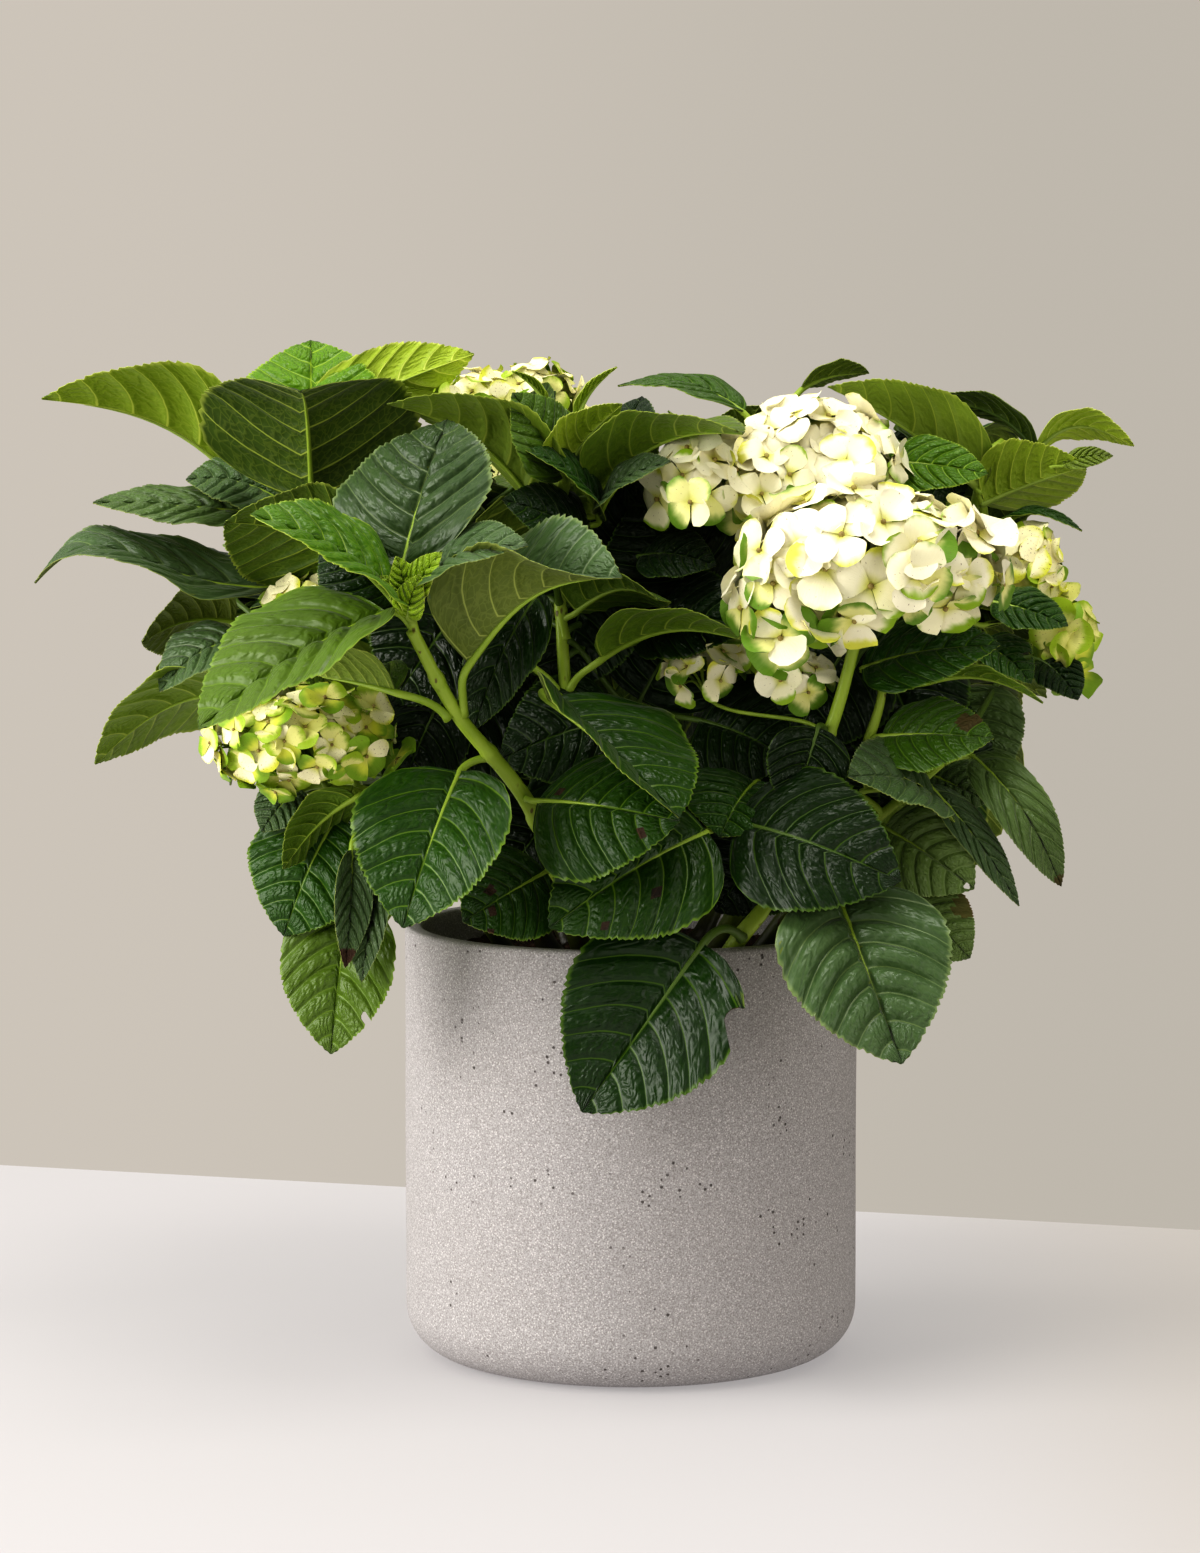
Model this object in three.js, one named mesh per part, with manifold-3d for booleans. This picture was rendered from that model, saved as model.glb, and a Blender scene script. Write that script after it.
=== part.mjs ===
// A potted hydrangea: a straight-sided mineral planter, its soil, the green canes that rise from it,
// and the crown they carry, as masses of leaves and domed flower heads.
// Millimetres, +Z up, the front towards -Y. The origin is the middle of the planter's underside.
import * as THREE from "three";
import { mergeVertices } from "three/addons/utils/BufferGeometryUtils.js";
import Module from "manifold-3d";

const wasm = await Module();
wasm.setup();

// ---- driving dimensions ----
const POT_RADIUS = 150;
const POT_HEIGHT = 286;
const POT_WALL = 12;
const POT_FLOOR = 16;
const POT_FOOT_ROUNDING = 33;
const POT_INNER_ROUNDING = 22;
const POT_LIP_ROUNDING = 3;
const POT_SIDES = 36;
const FOOT_STEPS = 4; // facets of the foot's rounding
const BOWL_STEPS = 2; // facets of the rounding inside, between wall and floor

const SOIL_TOP = 264;

const CANE_SIDES = 6;
const CANE_STEPS = 2; // facets along a cane between two of its points
const CANE_TIP_SHARE = 0.6; // tip radius as a share of the foot radius
const CANE_FLARE = 0.35; // how much wider a cane is at its foot
const CANE_FLARE_REACH = 0.15; // share of its length over which that fades

const GAP = 0.35; // clearance between solids that meet
const MASS_DETAIL = 2; // how finely each ball of triangles is divided
const BLOOM_DETAIL = 1;
const LOBE_DETAIL = 1;
const LOBE_ROOT = 0.25; // where a lobe starts, as a share of the way from its mass's middle to its tip
const LEAF_LUMP = 0.09; // how far a mass of leaves swells and dips, as a share of its radius
const BLOOM_LUMP = 0.045; // the same for a flower head, which is rounder
const LUMP_WAVES = [4, 5, 6]; // how fast the swelling goes along X, Y and Z

// ---- colours of the materials ----
const MINERAL = { color: 0xbdb4ad, roughness: 0.9, metalness: 0 };
const SOIL = { color: 0x3a2a20, roughness: 1, metalness: 0 };
const CANE = { color: 0x7d9a3c, roughness: 0.6, metalness: 0 };
const LEAF = { color: 0x2c5a22, roughness: 0.5, metalness: 0 };
const PETAL = { color: 0xf0ecc8, roughness: 0.7, metalness: 0 };

// ---- the canes: foot on the soil, the way up, and the mass that each one enters ----
const CANES = [
  { name: "cane_front_left", radius: 6.5, enters: "leaves_front_left",
    foot: [-28, -62], way: [[-62, -128, 372], [-108, -172, 438], [-136, -186, 492]] },
  { name: "cane_middle", radius: 5.5, enters: "leaves_top_centre",
    foot: [-6, -40], way: [[-38, -88, 390], [-42, -94, 448], [-45, -84, 515], [-38, -62, 580]] },
  { name: "cane_left", radius: 6.5, enters: "leaves_left_crown",
    foot: [-52, -4], way: [[-92, -14, 350], [-150, -22, 450], [-208, -26, 545]] },
  { name: "cane_right_front", radius: 6, enters: "bloom_right_front",
    foot: [46, -66], way: [[92, -112, 352], [126, -128, 425], [146, -132, 500]] },
  { name: "cane_right", radius: 6.5, enters: "leaves_right_crown",
    foot: [56, 4], way: [[110, 4, 350], [178, 14, 455], [228, 32, 560]] },
  { name: "cane_right_low", radius: 5.5, enters: "leaves_right_edge",
    foot: [78, -34], way: [[128, -58, 335], [176, -56, 385]] },
  { name: "cane_left_low", radius: 5.5, enters: "leaves_low_left",
    foot: [-74, -42], way: [[-112, -78, 320], [-140, -98, 350]] },
  { name: "cane_back_left", radius: 6, enters: "leaves_back_left",
    foot: [-40, 58], way: [[-88, 98, 350], [-140, 132, 430]] },
  { name: "cane_back_right", radius: 6, enters: "leaves_back_right",
    foot: [44, 60], way: [[92, 102, 350], [142, 132, 420]] },
  { name: "cane_back", radius: 6, enters: "leaves_back_centre",
    foot: [2, 40], way: [[6, 84, 370], [8, 112, 460], [6, 128, 520]] },
];

// ---- the flower heads: middle and half sizes of each dome ----
const BLOOMS = [
  { name: "bloom_right_front", middle: [147, -150, 528], half: [90, 62, 62] },
  { name: "bloom_right_top", middle: [102, -36, 602], half: [78, 62, 50] },
  { name: "bloom_left_low", middle: [-206, -122, 426], half: [66, 52, 42] },
  { name: "bloom_left_inner", middle: [-196, -52, 502], half: [44, 40, 26] },
  { name: "bloom_top_back", middle: [-94, 62, 618], half: [50, 46, 34] },
  { name: "bloom_middle_low", middle: [80, -104, 448], half: [62, 44, 26] },
  { name: "bloom_right_edge", middle: [276, -4, 484], half: [40, 44, 50] },
  { name: "bloom_back", middle: [-40, 214, 566], half: [74, 58, 52] },
  { name: "bloom_back_right", middle: [176, 166, 548], half: [72, 58, 50] },
];

// ---- the masses of leaves: middle and half sizes of each body, and the lobes that reach to the tips ----
const MASSES = [
  { name: "leaves_left_crown", middle: [-212, -24, 592], half: [92, 100, 50], lobes: [
    { tip: [-390, -34, 636], width: 78, thick: 28 },
    { tip: [-356, -22, 562], width: 60, thick: 20 },
    { tip: [-106, 22, 668], width: 70, thick: 22 }] },
  { name: "leaves_left_edge", middle: [-262, -22, 460], half: [68, 92, 66], lobes: [
    { tip: [-394, -46, 514], width: 66, thick: 28 },
    { tip: [-352, -40, 392], width: 70, thick: 22 }] },
  { name: "leaves_front_left", middle: [-132, -172, 528], half: [92, 66, 62], lobes: [
    { tip: [-117, -96, 624], width: 104, thick: 26 },
    { tip: [-268, -226, 430], width: 94, thick: 28 }] },
  { name: "leaves_top_centre", middle: [-28, -46, 594], half: [86, 72, 50], lobes: [
    { tip: [-160, -72, 632], width: 66, thick: 22 },
    { tip: [76, -92, 612], width: 64, thick: 22 }] },
  { name: "leaves_middle", middle: [-4, -104, 478], half: [92, 68, 62], lobes: [] },
  { name: "leaves_low_left", middle: [-166, -112, 352], half: [88, 68, 54], lobes: [
    { tip: [-192, -134, 214], width: 78, thick: 22 },
    { tip: [-250, -104, 312], width: 70, thick: 24 }] },
  { name: "leaves_low_front", middle: [-10, -148, 378], half: [108, 62, 56], lobes: [] },
  { name: "leaves_over_rim", middle: [2, -178, 248], half: [56, 16, 66], lobes: [] },
  { name: "leaves_low_right", middle: [128, -134, 366], half: [96, 64, 56], lobes: [
    { tip: [169, -210, 222], width: 108, thick: 24 },
    { tip: [220, -118, 320], width: 66, thick: 22 }] },
  { name: "leaves_right_edge", middle: [220, -34, 420], half: [84, 94, 72], lobes: [
    { tip: [284, -40, 312], width: 46, thick: 22 }] },
  { name: "leaves_right_crown", middle: [220, 36, 592], half: [86, 90, 50], lobes: [
    { tip: [338, 44, 602], width: 46, thick: 20 },
    { tip: [137, 62, 648], width: 78, thick: 24 }] },
  { name: "leaves_back_centre", middle: [14, 122, 556], half: [112, 96, 76], lobes: [
    { tip: [30, 292, 610], width: 90, thick: 28 },
    { tip: [165, 96, 658], width: 64, thick: 22 }] },
  { name: "leaves_back_left", middle: [-182, 142, 470], half: [104, 104, 96], lobes: [
    { tip: [-330, 190, 500], width: 90, thick: 28 },
    { tip: [-230, 310, 470], width: 90, thick: 28 },
    { tip: [-200, 220, 286], width: 90, thick: 28 }] },
  { name: "leaves_back_right", middle: [182, 138, 440], half: [104, 104, 94], lobes: [
    { tip: [318, 190, 470], width: 90, thick: 28 },
    { tip: [220, 306, 440], width: 90, thick: 28 },
    { tip: [230, 200, 276], width: 90, thick: 28 }] },
  { name: "leaves_back_low", middle: [0, 172, 372], half: [108, 90, 70], lobes: [
    { tip: [30, 276, 256], width: 90, thick: 28 }] },
];

// ---- solids ----

// A closed geometry as a manifold solid: only its positions count.
function solid(geometry) {
  const bare = geometry.index ? geometry.toNonIndexed() : geometry.clone();
  for (const name of Object.keys(bare.attributes)) {
    if (name !== "position") bare.deleteAttribute(name);
  }
  const merged = mergeVertices(bare, 1e-3);
  return new wasm.Manifold(new wasm.Mesh({
    numProp: 3,
    vertProperties: merged.attributes.position.array,
    triVerts: new Uint32Array(merged.index.array),
  }));
}

// The largest body of a solid, as a geometry.
function geometryOf(body) {
  const largest = body.decompose().reduce((a, b) => (b.volume() > a.volume() ? b : a));
  const mesh = largest.getMesh();
  const geometry = new THREE.BufferGeometry();
  geometry.setAttribute("position", new THREE.BufferAttribute(new Float32Array(mesh.vertProperties), 3));
  geometry.setIndex(new THREE.BufferAttribute(new Uint32Array(mesh.triVerts), 1));
  geometry.computeVertexNormals();
  return geometry;
}

function named(name, geometry, finish) {
  const mesh = new THREE.Mesh(geometry, new THREE.MeshStandardMaterial(finish));
  mesh.name = name;
  return mesh;
}

// Points of a quarter circle about a centre, in a lathe profile of radius and height.
function quarter(radius, cx, cz, from, to, steps) {
  return Array.from({ length: steps + 1 }, (_, i) => {
    const angle = THREE.MathUtils.degToRad(from + ((to - from) * i) / steps);
    return new THREE.Vector2(cx + radius * Math.cos(angle), cz + radius * Math.sin(angle));
  });
}

// A lathe about +Z: three.js turns its profile about +Y.
function turned(profile) {
  return new THREE.LatheGeometry(profile, POT_SIDES).rotateX(Math.PI / 2);
}

// The planter: a straight wall on a rounded foot, with a soft lip and a hollow down to its floor.
function planter() {
  const foot = POT_FOOT_ROUNDING;
  const lip = POT_LIP_ROUNDING;
  const inner = POT_RADIUS - POT_WALL;
  const bowl = POT_INNER_ROUNDING;
  return turned([
    new THREE.Vector2(0, 0),
    ...quarter(foot, POT_RADIUS - foot, foot, -90, 0, FOOT_STEPS),
    new THREE.Vector2(POT_RADIUS, POT_HEIGHT - lip),
    new THREE.Vector2(POT_RADIUS - lip, POT_HEIGHT),
    new THREE.Vector2(inner + lip, POT_HEIGHT),
    new THREE.Vector2(inner, POT_HEIGHT - lip),
    ...quarter(bowl, inner - bowl, POT_FLOOR + bowl, 0, -90, BOWL_STEPS),
    new THREE.Vector2(0, POT_FLOOR),
  ]);
}

// The soil fills the planter from its floor to a level top below the lip.
function soil() {
  const bowl = POT_INNER_ROUNDING;
  const radius = POT_RADIUS - POT_WALL - GAP;
  const floor = POT_FLOOR + GAP;
  return turned([
    new THREE.Vector2(0, floor),
    ...quarter(bowl, radius - bowl, floor + bowl, -90, 0, BOWL_STEPS),
    new THREE.Vector2(radius, SOIL_TOP),
    new THREE.Vector2(0, SOIL_TOP),
  ]);
}

// A cane: a tapered cylinder bent along a smooth curve, flared at its foot, where it is cut level.
// It stands on the soil. extra widens it into the room that other solids leave for it.
function cane({ foot, way, radius }, extra = 0) {
  const start = new THREE.Vector3(...foot, SOIL_TOP + GAP - extra);
  const curve = new THREE.CatmullRomCurve3([start, ...way.map((p) => new THREE.Vector3(...p))]);
  const geometry = new THREE.CylinderGeometry(radius * CANE_TIP_SHARE + extra, radius + extra, 1,
    CANE_SIDES, CANE_STEPS * way.length);
  const place = geometry.attributes.position;
  const vertex = new THREE.Vector3();
  const across = new THREE.Vector3();
  const side = new THREE.Vector3();
  for (let i = 0; i < place.count; i += 1) {
    vertex.fromBufferAttribute(place, i);
    const share = THREE.MathUtils.clamp(vertex.y + 0.5, 0, 1);
    const flare = 1 + CANE_FLARE * Math.max(0, 1 - share / CANE_FLARE_REACH);
    const along = share > 0 ? curve.getTangentAt(share) : new THREE.Vector3(0, 0, 1);
    across.crossVectors(new THREE.Vector3(0, 1, 0), along).normalize();
    side.crossVectors(along, across);
    const at = curve.getPointAt(share);
    at.addScaledVector(across, vertex.x * flare).addScaledVector(side, -vertex.z * flare);
    place.setXYZ(i, at.x, at.y, at.z);
  }
  return solid(geometry);
}

// An ellipsoid whose surface swells and dips in slow waves, set by its own phase.
function lumpy(middle, half, detail, lump, phase) {
  const ball = new THREE.IcosahedronGeometry(1, detail);
  const place = ball.attributes.position;
  const p = new THREE.Vector3();
  for (let i = 0; i < place.count; i += 1) {
    p.fromBufferAttribute(place, i);
    const waves = p.toArray().map((share, axis) => Math.sin(LUMP_WAVES[axis] * share + (axis + 1) * phase));
    const swell = 1 + lump * (waves[0] + waves[1] + waves[2]) / 3;
    place.setXYZ(i, ...p.toArray().map((share, axis) => middle[axis] + share * half[axis] * swell));
  }
  return solid(ball);
}

// A lobe: a flat spindle from inside its mass out to a tip, its broad side facing up and outwards.
function lobe(middle, { tip, width, thick }, extra) {
  const from = new THREE.Vector3(...middle);
  const to = new THREE.Vector3(...tip);
  const reach = to.clone().sub(from);
  const start = from.addScaledVector(reach, LOBE_ROOT);
  const half = to.distanceTo(start) / 2 + extra;
  const along = reach.normalize();
  const across = new THREE.Vector3(-along.y, along.x, 0.001).normalize();
  const up = new THREE.Vector3().crossVectors(along, across);
  const place = new THREE.Matrix4().makeBasis(along, across, up);
  place.setPosition(start.add(to).multiplyScalar(0.5));
  const spindle = new THREE.IcosahedronGeometry(1, LOBE_DETAIL);
  return solid(spindle.scale(half, width / 2 + extra, thick / 2 + extra).applyMatrix4(place));
}

// A mass of leaves: its lumpy body joined with its lobes.
function mass({ middle, half, lobes }, phase, extra = 0) {
  const grown = half.map((h) => h + extra);
  return lobes.reduce((body, l) => body.add(lobe(middle, l, extra)),
    lumpy(middle, grown, MASS_DETAIL, LEAF_LUMP, phase));
}

// A flower head: a dome of florets.
function bloom({ middle, half }, phase, extra = 0) {
  return lumpy(middle, half.map((h) => h + extra), BLOOM_DETAIL, BLOOM_LUMP, phase);
}

// The planter's outer form and the space over the soil, a little larger, where no leaf may be.
function planterRoom() {
  const height = POT_HEIGHT + GAP;
  const room = new THREE.CylinderGeometry(POT_RADIUS + GAP, POT_RADIUS + GAP, height, POT_SIDES);
  return solid(room.rotateX(Math.PI / 2).translate(0, 0, height / 2));
}

// ---- assembly: each solid is cut clear of the ones that come before it ----
const plant = new THREE.Group();
plant.add(named("planter", planter(), MINERAL));
plant.add(named("soil", soil(), SOIL));

const crown = new Map();
const rooms = new Map([["planter", planterRoom()]]);

function claim(name, body, room, finish) {
  const clear = [...rooms.values()].reduce((left, taken) => left.subtract(taken), body);
  crown.set(name, { body: clear, finish });
  rooms.set(name, room);
}

BLOOMS.forEach((b, i) => claim(b.name, bloom(b, i), bloom(b, i, GAP), PETAL));
MASSES.forEach((m, i) => claim(m.name, mass(m, i), mass(m, i, GAP), LEAF));

// A cane ends at the surface of the mass that it enters, and every other mass is cut round it.
for (const c of CANES) {
  const pieces = cane(c).subtract(rooms.get(c.enters)).decompose();
  const rooted = pieces.reduce((a, b) => (b.boundingBox().min[2] < a.boundingBox().min[2] ? b : a));
  plant.add(named(c.name, geometryOf(rooted), CANE));
  for (const [name, part] of crown) {
    if (name !== c.enters) part.body = part.body.subtract(cane(c, GAP));
  }
}
for (const [name, { body, finish }] of crown) {
  plant.add(named(name, geometryOf(body), finish));
}

export default plant;
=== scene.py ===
"""A potted hydrangea: planter, soil, green canes, leaves and flower heads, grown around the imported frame.

Lengths are millimetres in the frame (+X to the viewer's right, -Y to the front, +Z up) until a mesh is
made. A leaf in view is placed by (column, row, depth): a place in the camera's 1200 x 1553 frame, and
how far back that point lies, in millimetres along Y.
"""

import bpy
import numpy as np
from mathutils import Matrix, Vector


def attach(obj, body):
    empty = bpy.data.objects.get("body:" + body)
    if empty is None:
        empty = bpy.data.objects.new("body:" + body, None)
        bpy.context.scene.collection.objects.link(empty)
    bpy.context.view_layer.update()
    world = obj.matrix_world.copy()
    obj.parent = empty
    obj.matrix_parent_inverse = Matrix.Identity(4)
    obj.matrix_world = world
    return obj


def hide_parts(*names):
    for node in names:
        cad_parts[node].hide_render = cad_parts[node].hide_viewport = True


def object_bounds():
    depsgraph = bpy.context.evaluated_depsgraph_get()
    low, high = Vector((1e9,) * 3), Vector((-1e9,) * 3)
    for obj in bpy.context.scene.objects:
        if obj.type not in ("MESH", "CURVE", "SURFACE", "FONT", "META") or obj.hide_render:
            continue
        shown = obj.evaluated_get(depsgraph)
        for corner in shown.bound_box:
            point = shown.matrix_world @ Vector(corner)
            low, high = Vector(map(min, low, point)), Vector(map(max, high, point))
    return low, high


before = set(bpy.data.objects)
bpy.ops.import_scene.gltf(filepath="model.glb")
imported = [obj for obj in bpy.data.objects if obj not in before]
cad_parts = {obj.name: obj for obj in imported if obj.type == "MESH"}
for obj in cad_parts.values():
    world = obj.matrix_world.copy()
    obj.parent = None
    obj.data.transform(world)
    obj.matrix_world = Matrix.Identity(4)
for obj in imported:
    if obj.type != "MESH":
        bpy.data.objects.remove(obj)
cad_low, cad_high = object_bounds()

MM = 0.001
CAD_LOW, CAD_HIGH = np.array(cad_low) / MM, np.array(cad_high) / MM
UP = np.array([0.0, 0.0, 1.0])
SEED = 7
rng = np.random.default_rng(SEED)

# ---- the camera, and the place of a point of its frame ----
FRAME_SIZE = (1200, 1553)
CAMERA_PLACE = np.array([0.0, -3000.0, 660.7])
CAMERA_AIM = np.array([-20.55, 0.0, 383.6])
SENSOR = 36.0
LENS = 105.45

LOOK = (CAMERA_AIM - CAMERA_PLACE) / np.linalg.norm(CAMERA_AIM - CAMERA_PLACE)
RIGHT = np.cross(LOOK, UP) / np.linalg.norm(np.cross(LOOK, UP))
OVER = np.cross(RIGHT, LOOK)

STEP = SENSOR / LENS / FRAME_SIZE[1]  # width of one pixel of the frame at a distance of one
PIXEL = 0.667  # millimetres that one pixel shows at the planter's middle


def ray_to(column, row):
    """The way from the camera through a place in its frame."""
    return LOOK + RIGHT * (column - FRAME_SIZE[0] / 2) * STEP + OVER * (FRAME_SIZE[1] / 2 - row) * STEP


def at(place):
    """The point at (column, row, depth): the camera's ray through that place, cut by y = depth."""
    column, row, depth = place
    ray = ray_to(column, row)
    return CAMERA_PLACE + ray * (depth - CAMERA_PLACE[1]) / ray[1]


def on_floor(column, row):
    """The point of the floor that shows at a place in the frame: the ray cut by the plane z = 0."""
    ray = ray_to(column, row)
    return CAMERA_PLACE - ray * CAMERA_PLACE[2] / ray[2]


def seen_at(points):
    """Column and row in the frame of each point: its offsets over its distance, in pixels."""
    away = points - CAMERA_PLACE
    far = (away @ LOOK) * STEP
    columns = FRAME_SIZE[0] / 2 + away @ RIGHT / far
    rows = FRAME_SIZE[1] / 2 - away @ OVER / far
    return np.stack([columns, rows], axis=-1)


# ---- sizes of the planter and the soil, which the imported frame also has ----
POT_RADIUS, POT_HEIGHT = 150.0, 286.0
POT_WALL, POT_FLOOR = 12.0, 16.0
POT_FOOT_ROUNDING, POT_INNER_ROUNDING, POT_LIP_ROUNDING = 33.0, 22.0, 3.0
SOIL_TOP, SOIL_DEEP = 264.0, 24.0  # height of the soil's top, and thickness of the piece that shows it
PLANTER_SIDES, SOIL_SIDES, SOIL_RINGS = 180, 170, 54
PLANTER_STEP = 6.0  # most distance along its profile from one ring of the planter to the next
DENT = 0.15  # how far the planter's wall wavers from true round
SOIL_GRAIN = 1.5  # spread of the heights of its grains

# ---- how a leaf is made ----
VEINS = 7  # pairs of side veins
FINE = {"rows": 48, "across": 8}
COARSE = {"rows": 24, "across": 4}
BLADE_THICK, RIM_THICK = 0.7, 0.35
QUILTING = 2.0  # height of the blade between its veins
TOOTH = 0.028  # depth of a tooth, as a share of the half width
RIM = 0.999  # share of the half width past which a point is on the margin
SIDE_VALLEY, RIB_VALLEY = 0.17, 0.09  # half widths of the valleys at the side veins and the midrib
SPINE_POINTS = 49
STALK_POINTS, RIB_POINTS, STALK_SIDES = 12, 14, 8
RIB_FROM, RIB_TO = 0.03, 0.82  # shares of the blade's length that the rib beneath it runs along
STALK_BELOW, RIB_BELOW = 0.6, 0.75  # how far below the upper sheet the petiole and the rib lie

# ---- how a floret is made ----
SEPAL_ROWS, SEPAL_COLUMNS = 5, 7
SEPAL_THICK = 0.7
BEAD_SIZE, BEAD_RISE = 0.085, 0.05  # the bead at the middle, as shares of the floret's radius
FLORET_STALK = (1.3, 0.7)  # radii at the two ends
FLORET_STALK_POINTS, FLORET_STALK_SIDES = 6, 5
SEPAL_SIZES, SEPAL_TURN = (0.88, 1.1), 0.09  # least and most, and how far one is turned by chance
SEPAL_CUP, SEPAL_CURL, SEPAL_LEAN = (0.20, 0.09), (0.18, 0.12), (0, 0.10)  # middle value and spread
LIFT_OF_PAIR = 0.05  # how far every second sepal lies above the others
GOLDEN = 3 - np.sqrt(5)  # the golden angle over pi
VARIANTS = 4  # sepal cells along each side of the bake map


# ================= arrays, curves and pieces =================

def unit(v):
    """Vectors at unit length: each over its own length."""
    return v / np.maximum(np.linalg.norm(v, axis=-1, keepdims=True), 1e-12)


def lengths(path):
    """The way along a path up to each of its points: the steps between them, summed."""
    return np.concatenate([[0], np.cumsum(np.linalg.norm(np.diff(path, axis=0), axis=1))])


def between(places, marks, rows):
    """Rows of three numbers at the places, each number taken on a straight line between its marks."""
    return np.stack([np.interp(places, marks, rows[:, k]) for k in range(3)], axis=1)


def smooth_path(points, count):
    """A Catmull-Rom curve through the points, resampled to count points evenly spaced along it."""
    p = np.asarray(points, float)
    p = np.vstack([2 * p[0] - p[1], p, 2 * p[-1] - p[-2]])
    t = np.linspace(0, 1, 16, endpoint=False)[:, None]
    a, b, c, d = (q[:, None, :] for q in (p[:-3], p[1:-2], p[2:-1], p[3:]))
    fine = 2 * b + (c - a) * t + (2 * a - 5 * b + 4 * c - d) * t**2 + (3 * b - a - 3 * c + d) * t**3
    fine = np.vstack([fine.reshape(-1, 3) / 2, p[-2:-1]])
    along = lengths(fine)
    return between(np.linspace(0, along[-1], count), along, fine)


def bezier(a, b, c, d, count):
    """A cubic curve from a to d that leaves towards b and arrives from c."""
    t = np.linspace(0, 1, count)[:, None]
    return a * (1 - t) ** 3 + 3 * b * t * (1 - t) ** 2 + 3 * c * t**2 * (1 - t) + d * t**3


class Pile:
    """Surfaces gathered for one piece: points, faces with finish numbers, and places on the patterns."""

    def __init__(self):
        self.points, self.faces, self.finish, self.pattern, self.cell, self.tone = [], [], [], [], [], []
        self.count = 0

    def add(self, points, faces, finish=0, pattern=None, cell=None, tone=0.0):
        """New points, with one tone or a tone for each, and the first faces on them."""
        self.points.append(points)
        self.tone.append(np.broadcast_to(np.asarray(tone, float), len(points)))
        self.count += len(points)
        self.more(len(points), faces, finish, pattern, cell)

    def more(self, last, faces, finish=0, pattern=None, cell=None):
        """Faces on the last so many points, whose corners are counted from the first of those points.

        pattern and cell hold a place for each corner of each face; finish is a number or one a face.
        """
        self.faces.append(faces + self.count - last)
        self.finish.append(np.broadcast_to(finish, len(faces)))
        for layer, places in ((self.pattern, pattern), (self.cell, cell)):
            layer.append(np.zeros((faces.size, 2)) if places is None else places.reshape(-1, 2))


def put(name, data):
    """An object of that name for the data, in the scene."""
    made = bpy.data.objects.new(name, data)
    bpy.context.scene.collection.objects.link(made)
    return made


def make_piece(name, pile, finishes, replaces=(), crease=55.0, bake_map=True):
    """One mesh object from a pile, riding on the plant's body and standing for the named nodes."""
    mesh = bpy.data.meshes.new(name)
    points = np.concatenate(pile.points)
    corners = np.concatenate([f.ravel() for f in pile.faces])
    totals = np.concatenate([np.full(len(f), f.shape[1]) for f in pile.faces])
    mesh.vertices.add(len(points))
    mesh.vertices.foreach_set("co", (points * MM).astype(np.float32).ravel())
    mesh.loops.add(len(corners))
    mesh.loops.foreach_set("vertex_index", corners.astype(np.int32))
    mesh.polygons.add(len(totals))
    starts = np.concatenate([[0], np.cumsum(totals)[:-1]])
    mesh.polygons.foreach_set("loop_start", starts.astype(np.int32))
    mesh.polygons.foreach_set("material_index", np.concatenate(pile.finish).astype(np.int32))
    mesh.polygons.foreach_set("use_smooth", np.ones(len(totals), bool))
    layers = {"pattern": pile.pattern, "OFBake": pile.cell} if bake_map else {}
    for layer, places in layers.items():
        uv = mesh.uv_layers.new(name=layer)
        uv.data.foreach_set("uv", np.concatenate(places).astype(np.float32).ravel())
    mesh.attributes.new("tone", "FLOAT", "POINT")
    mesh.attributes["tone"].data.foreach_set("value", np.concatenate(pile.tone).astype(np.float32))
    for finish in finishes:
        mesh.materials.append(finish)
    mesh.update(calc_edges=True)
    mesh.set_sharp_from_angle(angle=np.radians(crease))
    piece = put(name, mesh)
    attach(piece, "root")
    if replaces:
        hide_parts(*replaces)
    return piece


def grid_faces(rows, columns):
    """Quads of a grid of points, rows x columns, facing along (column direction) x (row direction)."""
    i, j = np.meshgrid(np.arange(rows - 1), np.arange(columns - 1), indexing="ij")
    k = (i * columns + j).ravel()
    return np.stack([k, k + 1, k + columns + 1, k + columns], axis=1)


def ring_faces(rings, sides):
    """Quads round a stack of rings, and the fans that close it on a first and a last single point."""
    i, j = np.meshgrid(np.arange(rings - 1), np.arange(sides), indexing="ij")
    here, there = (i * sides + j).ravel() + 1, (i * sides + (j + 1) % sides).ravel() + 1
    quads = np.stack([here, there, there + sides, here + sides], axis=1)
    j = np.arange(sides)
    top = (rings - 1) * sides + 1
    below = np.stack([np.zeros(sides, int), (j + 1) % sides + 1, j + 1], axis=1)
    above = np.stack([np.full(sides, rings * sides + 1), top + j, top + (j + 1) % sides], axis=1)
    return quads, np.concatenate([below, above])


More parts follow.
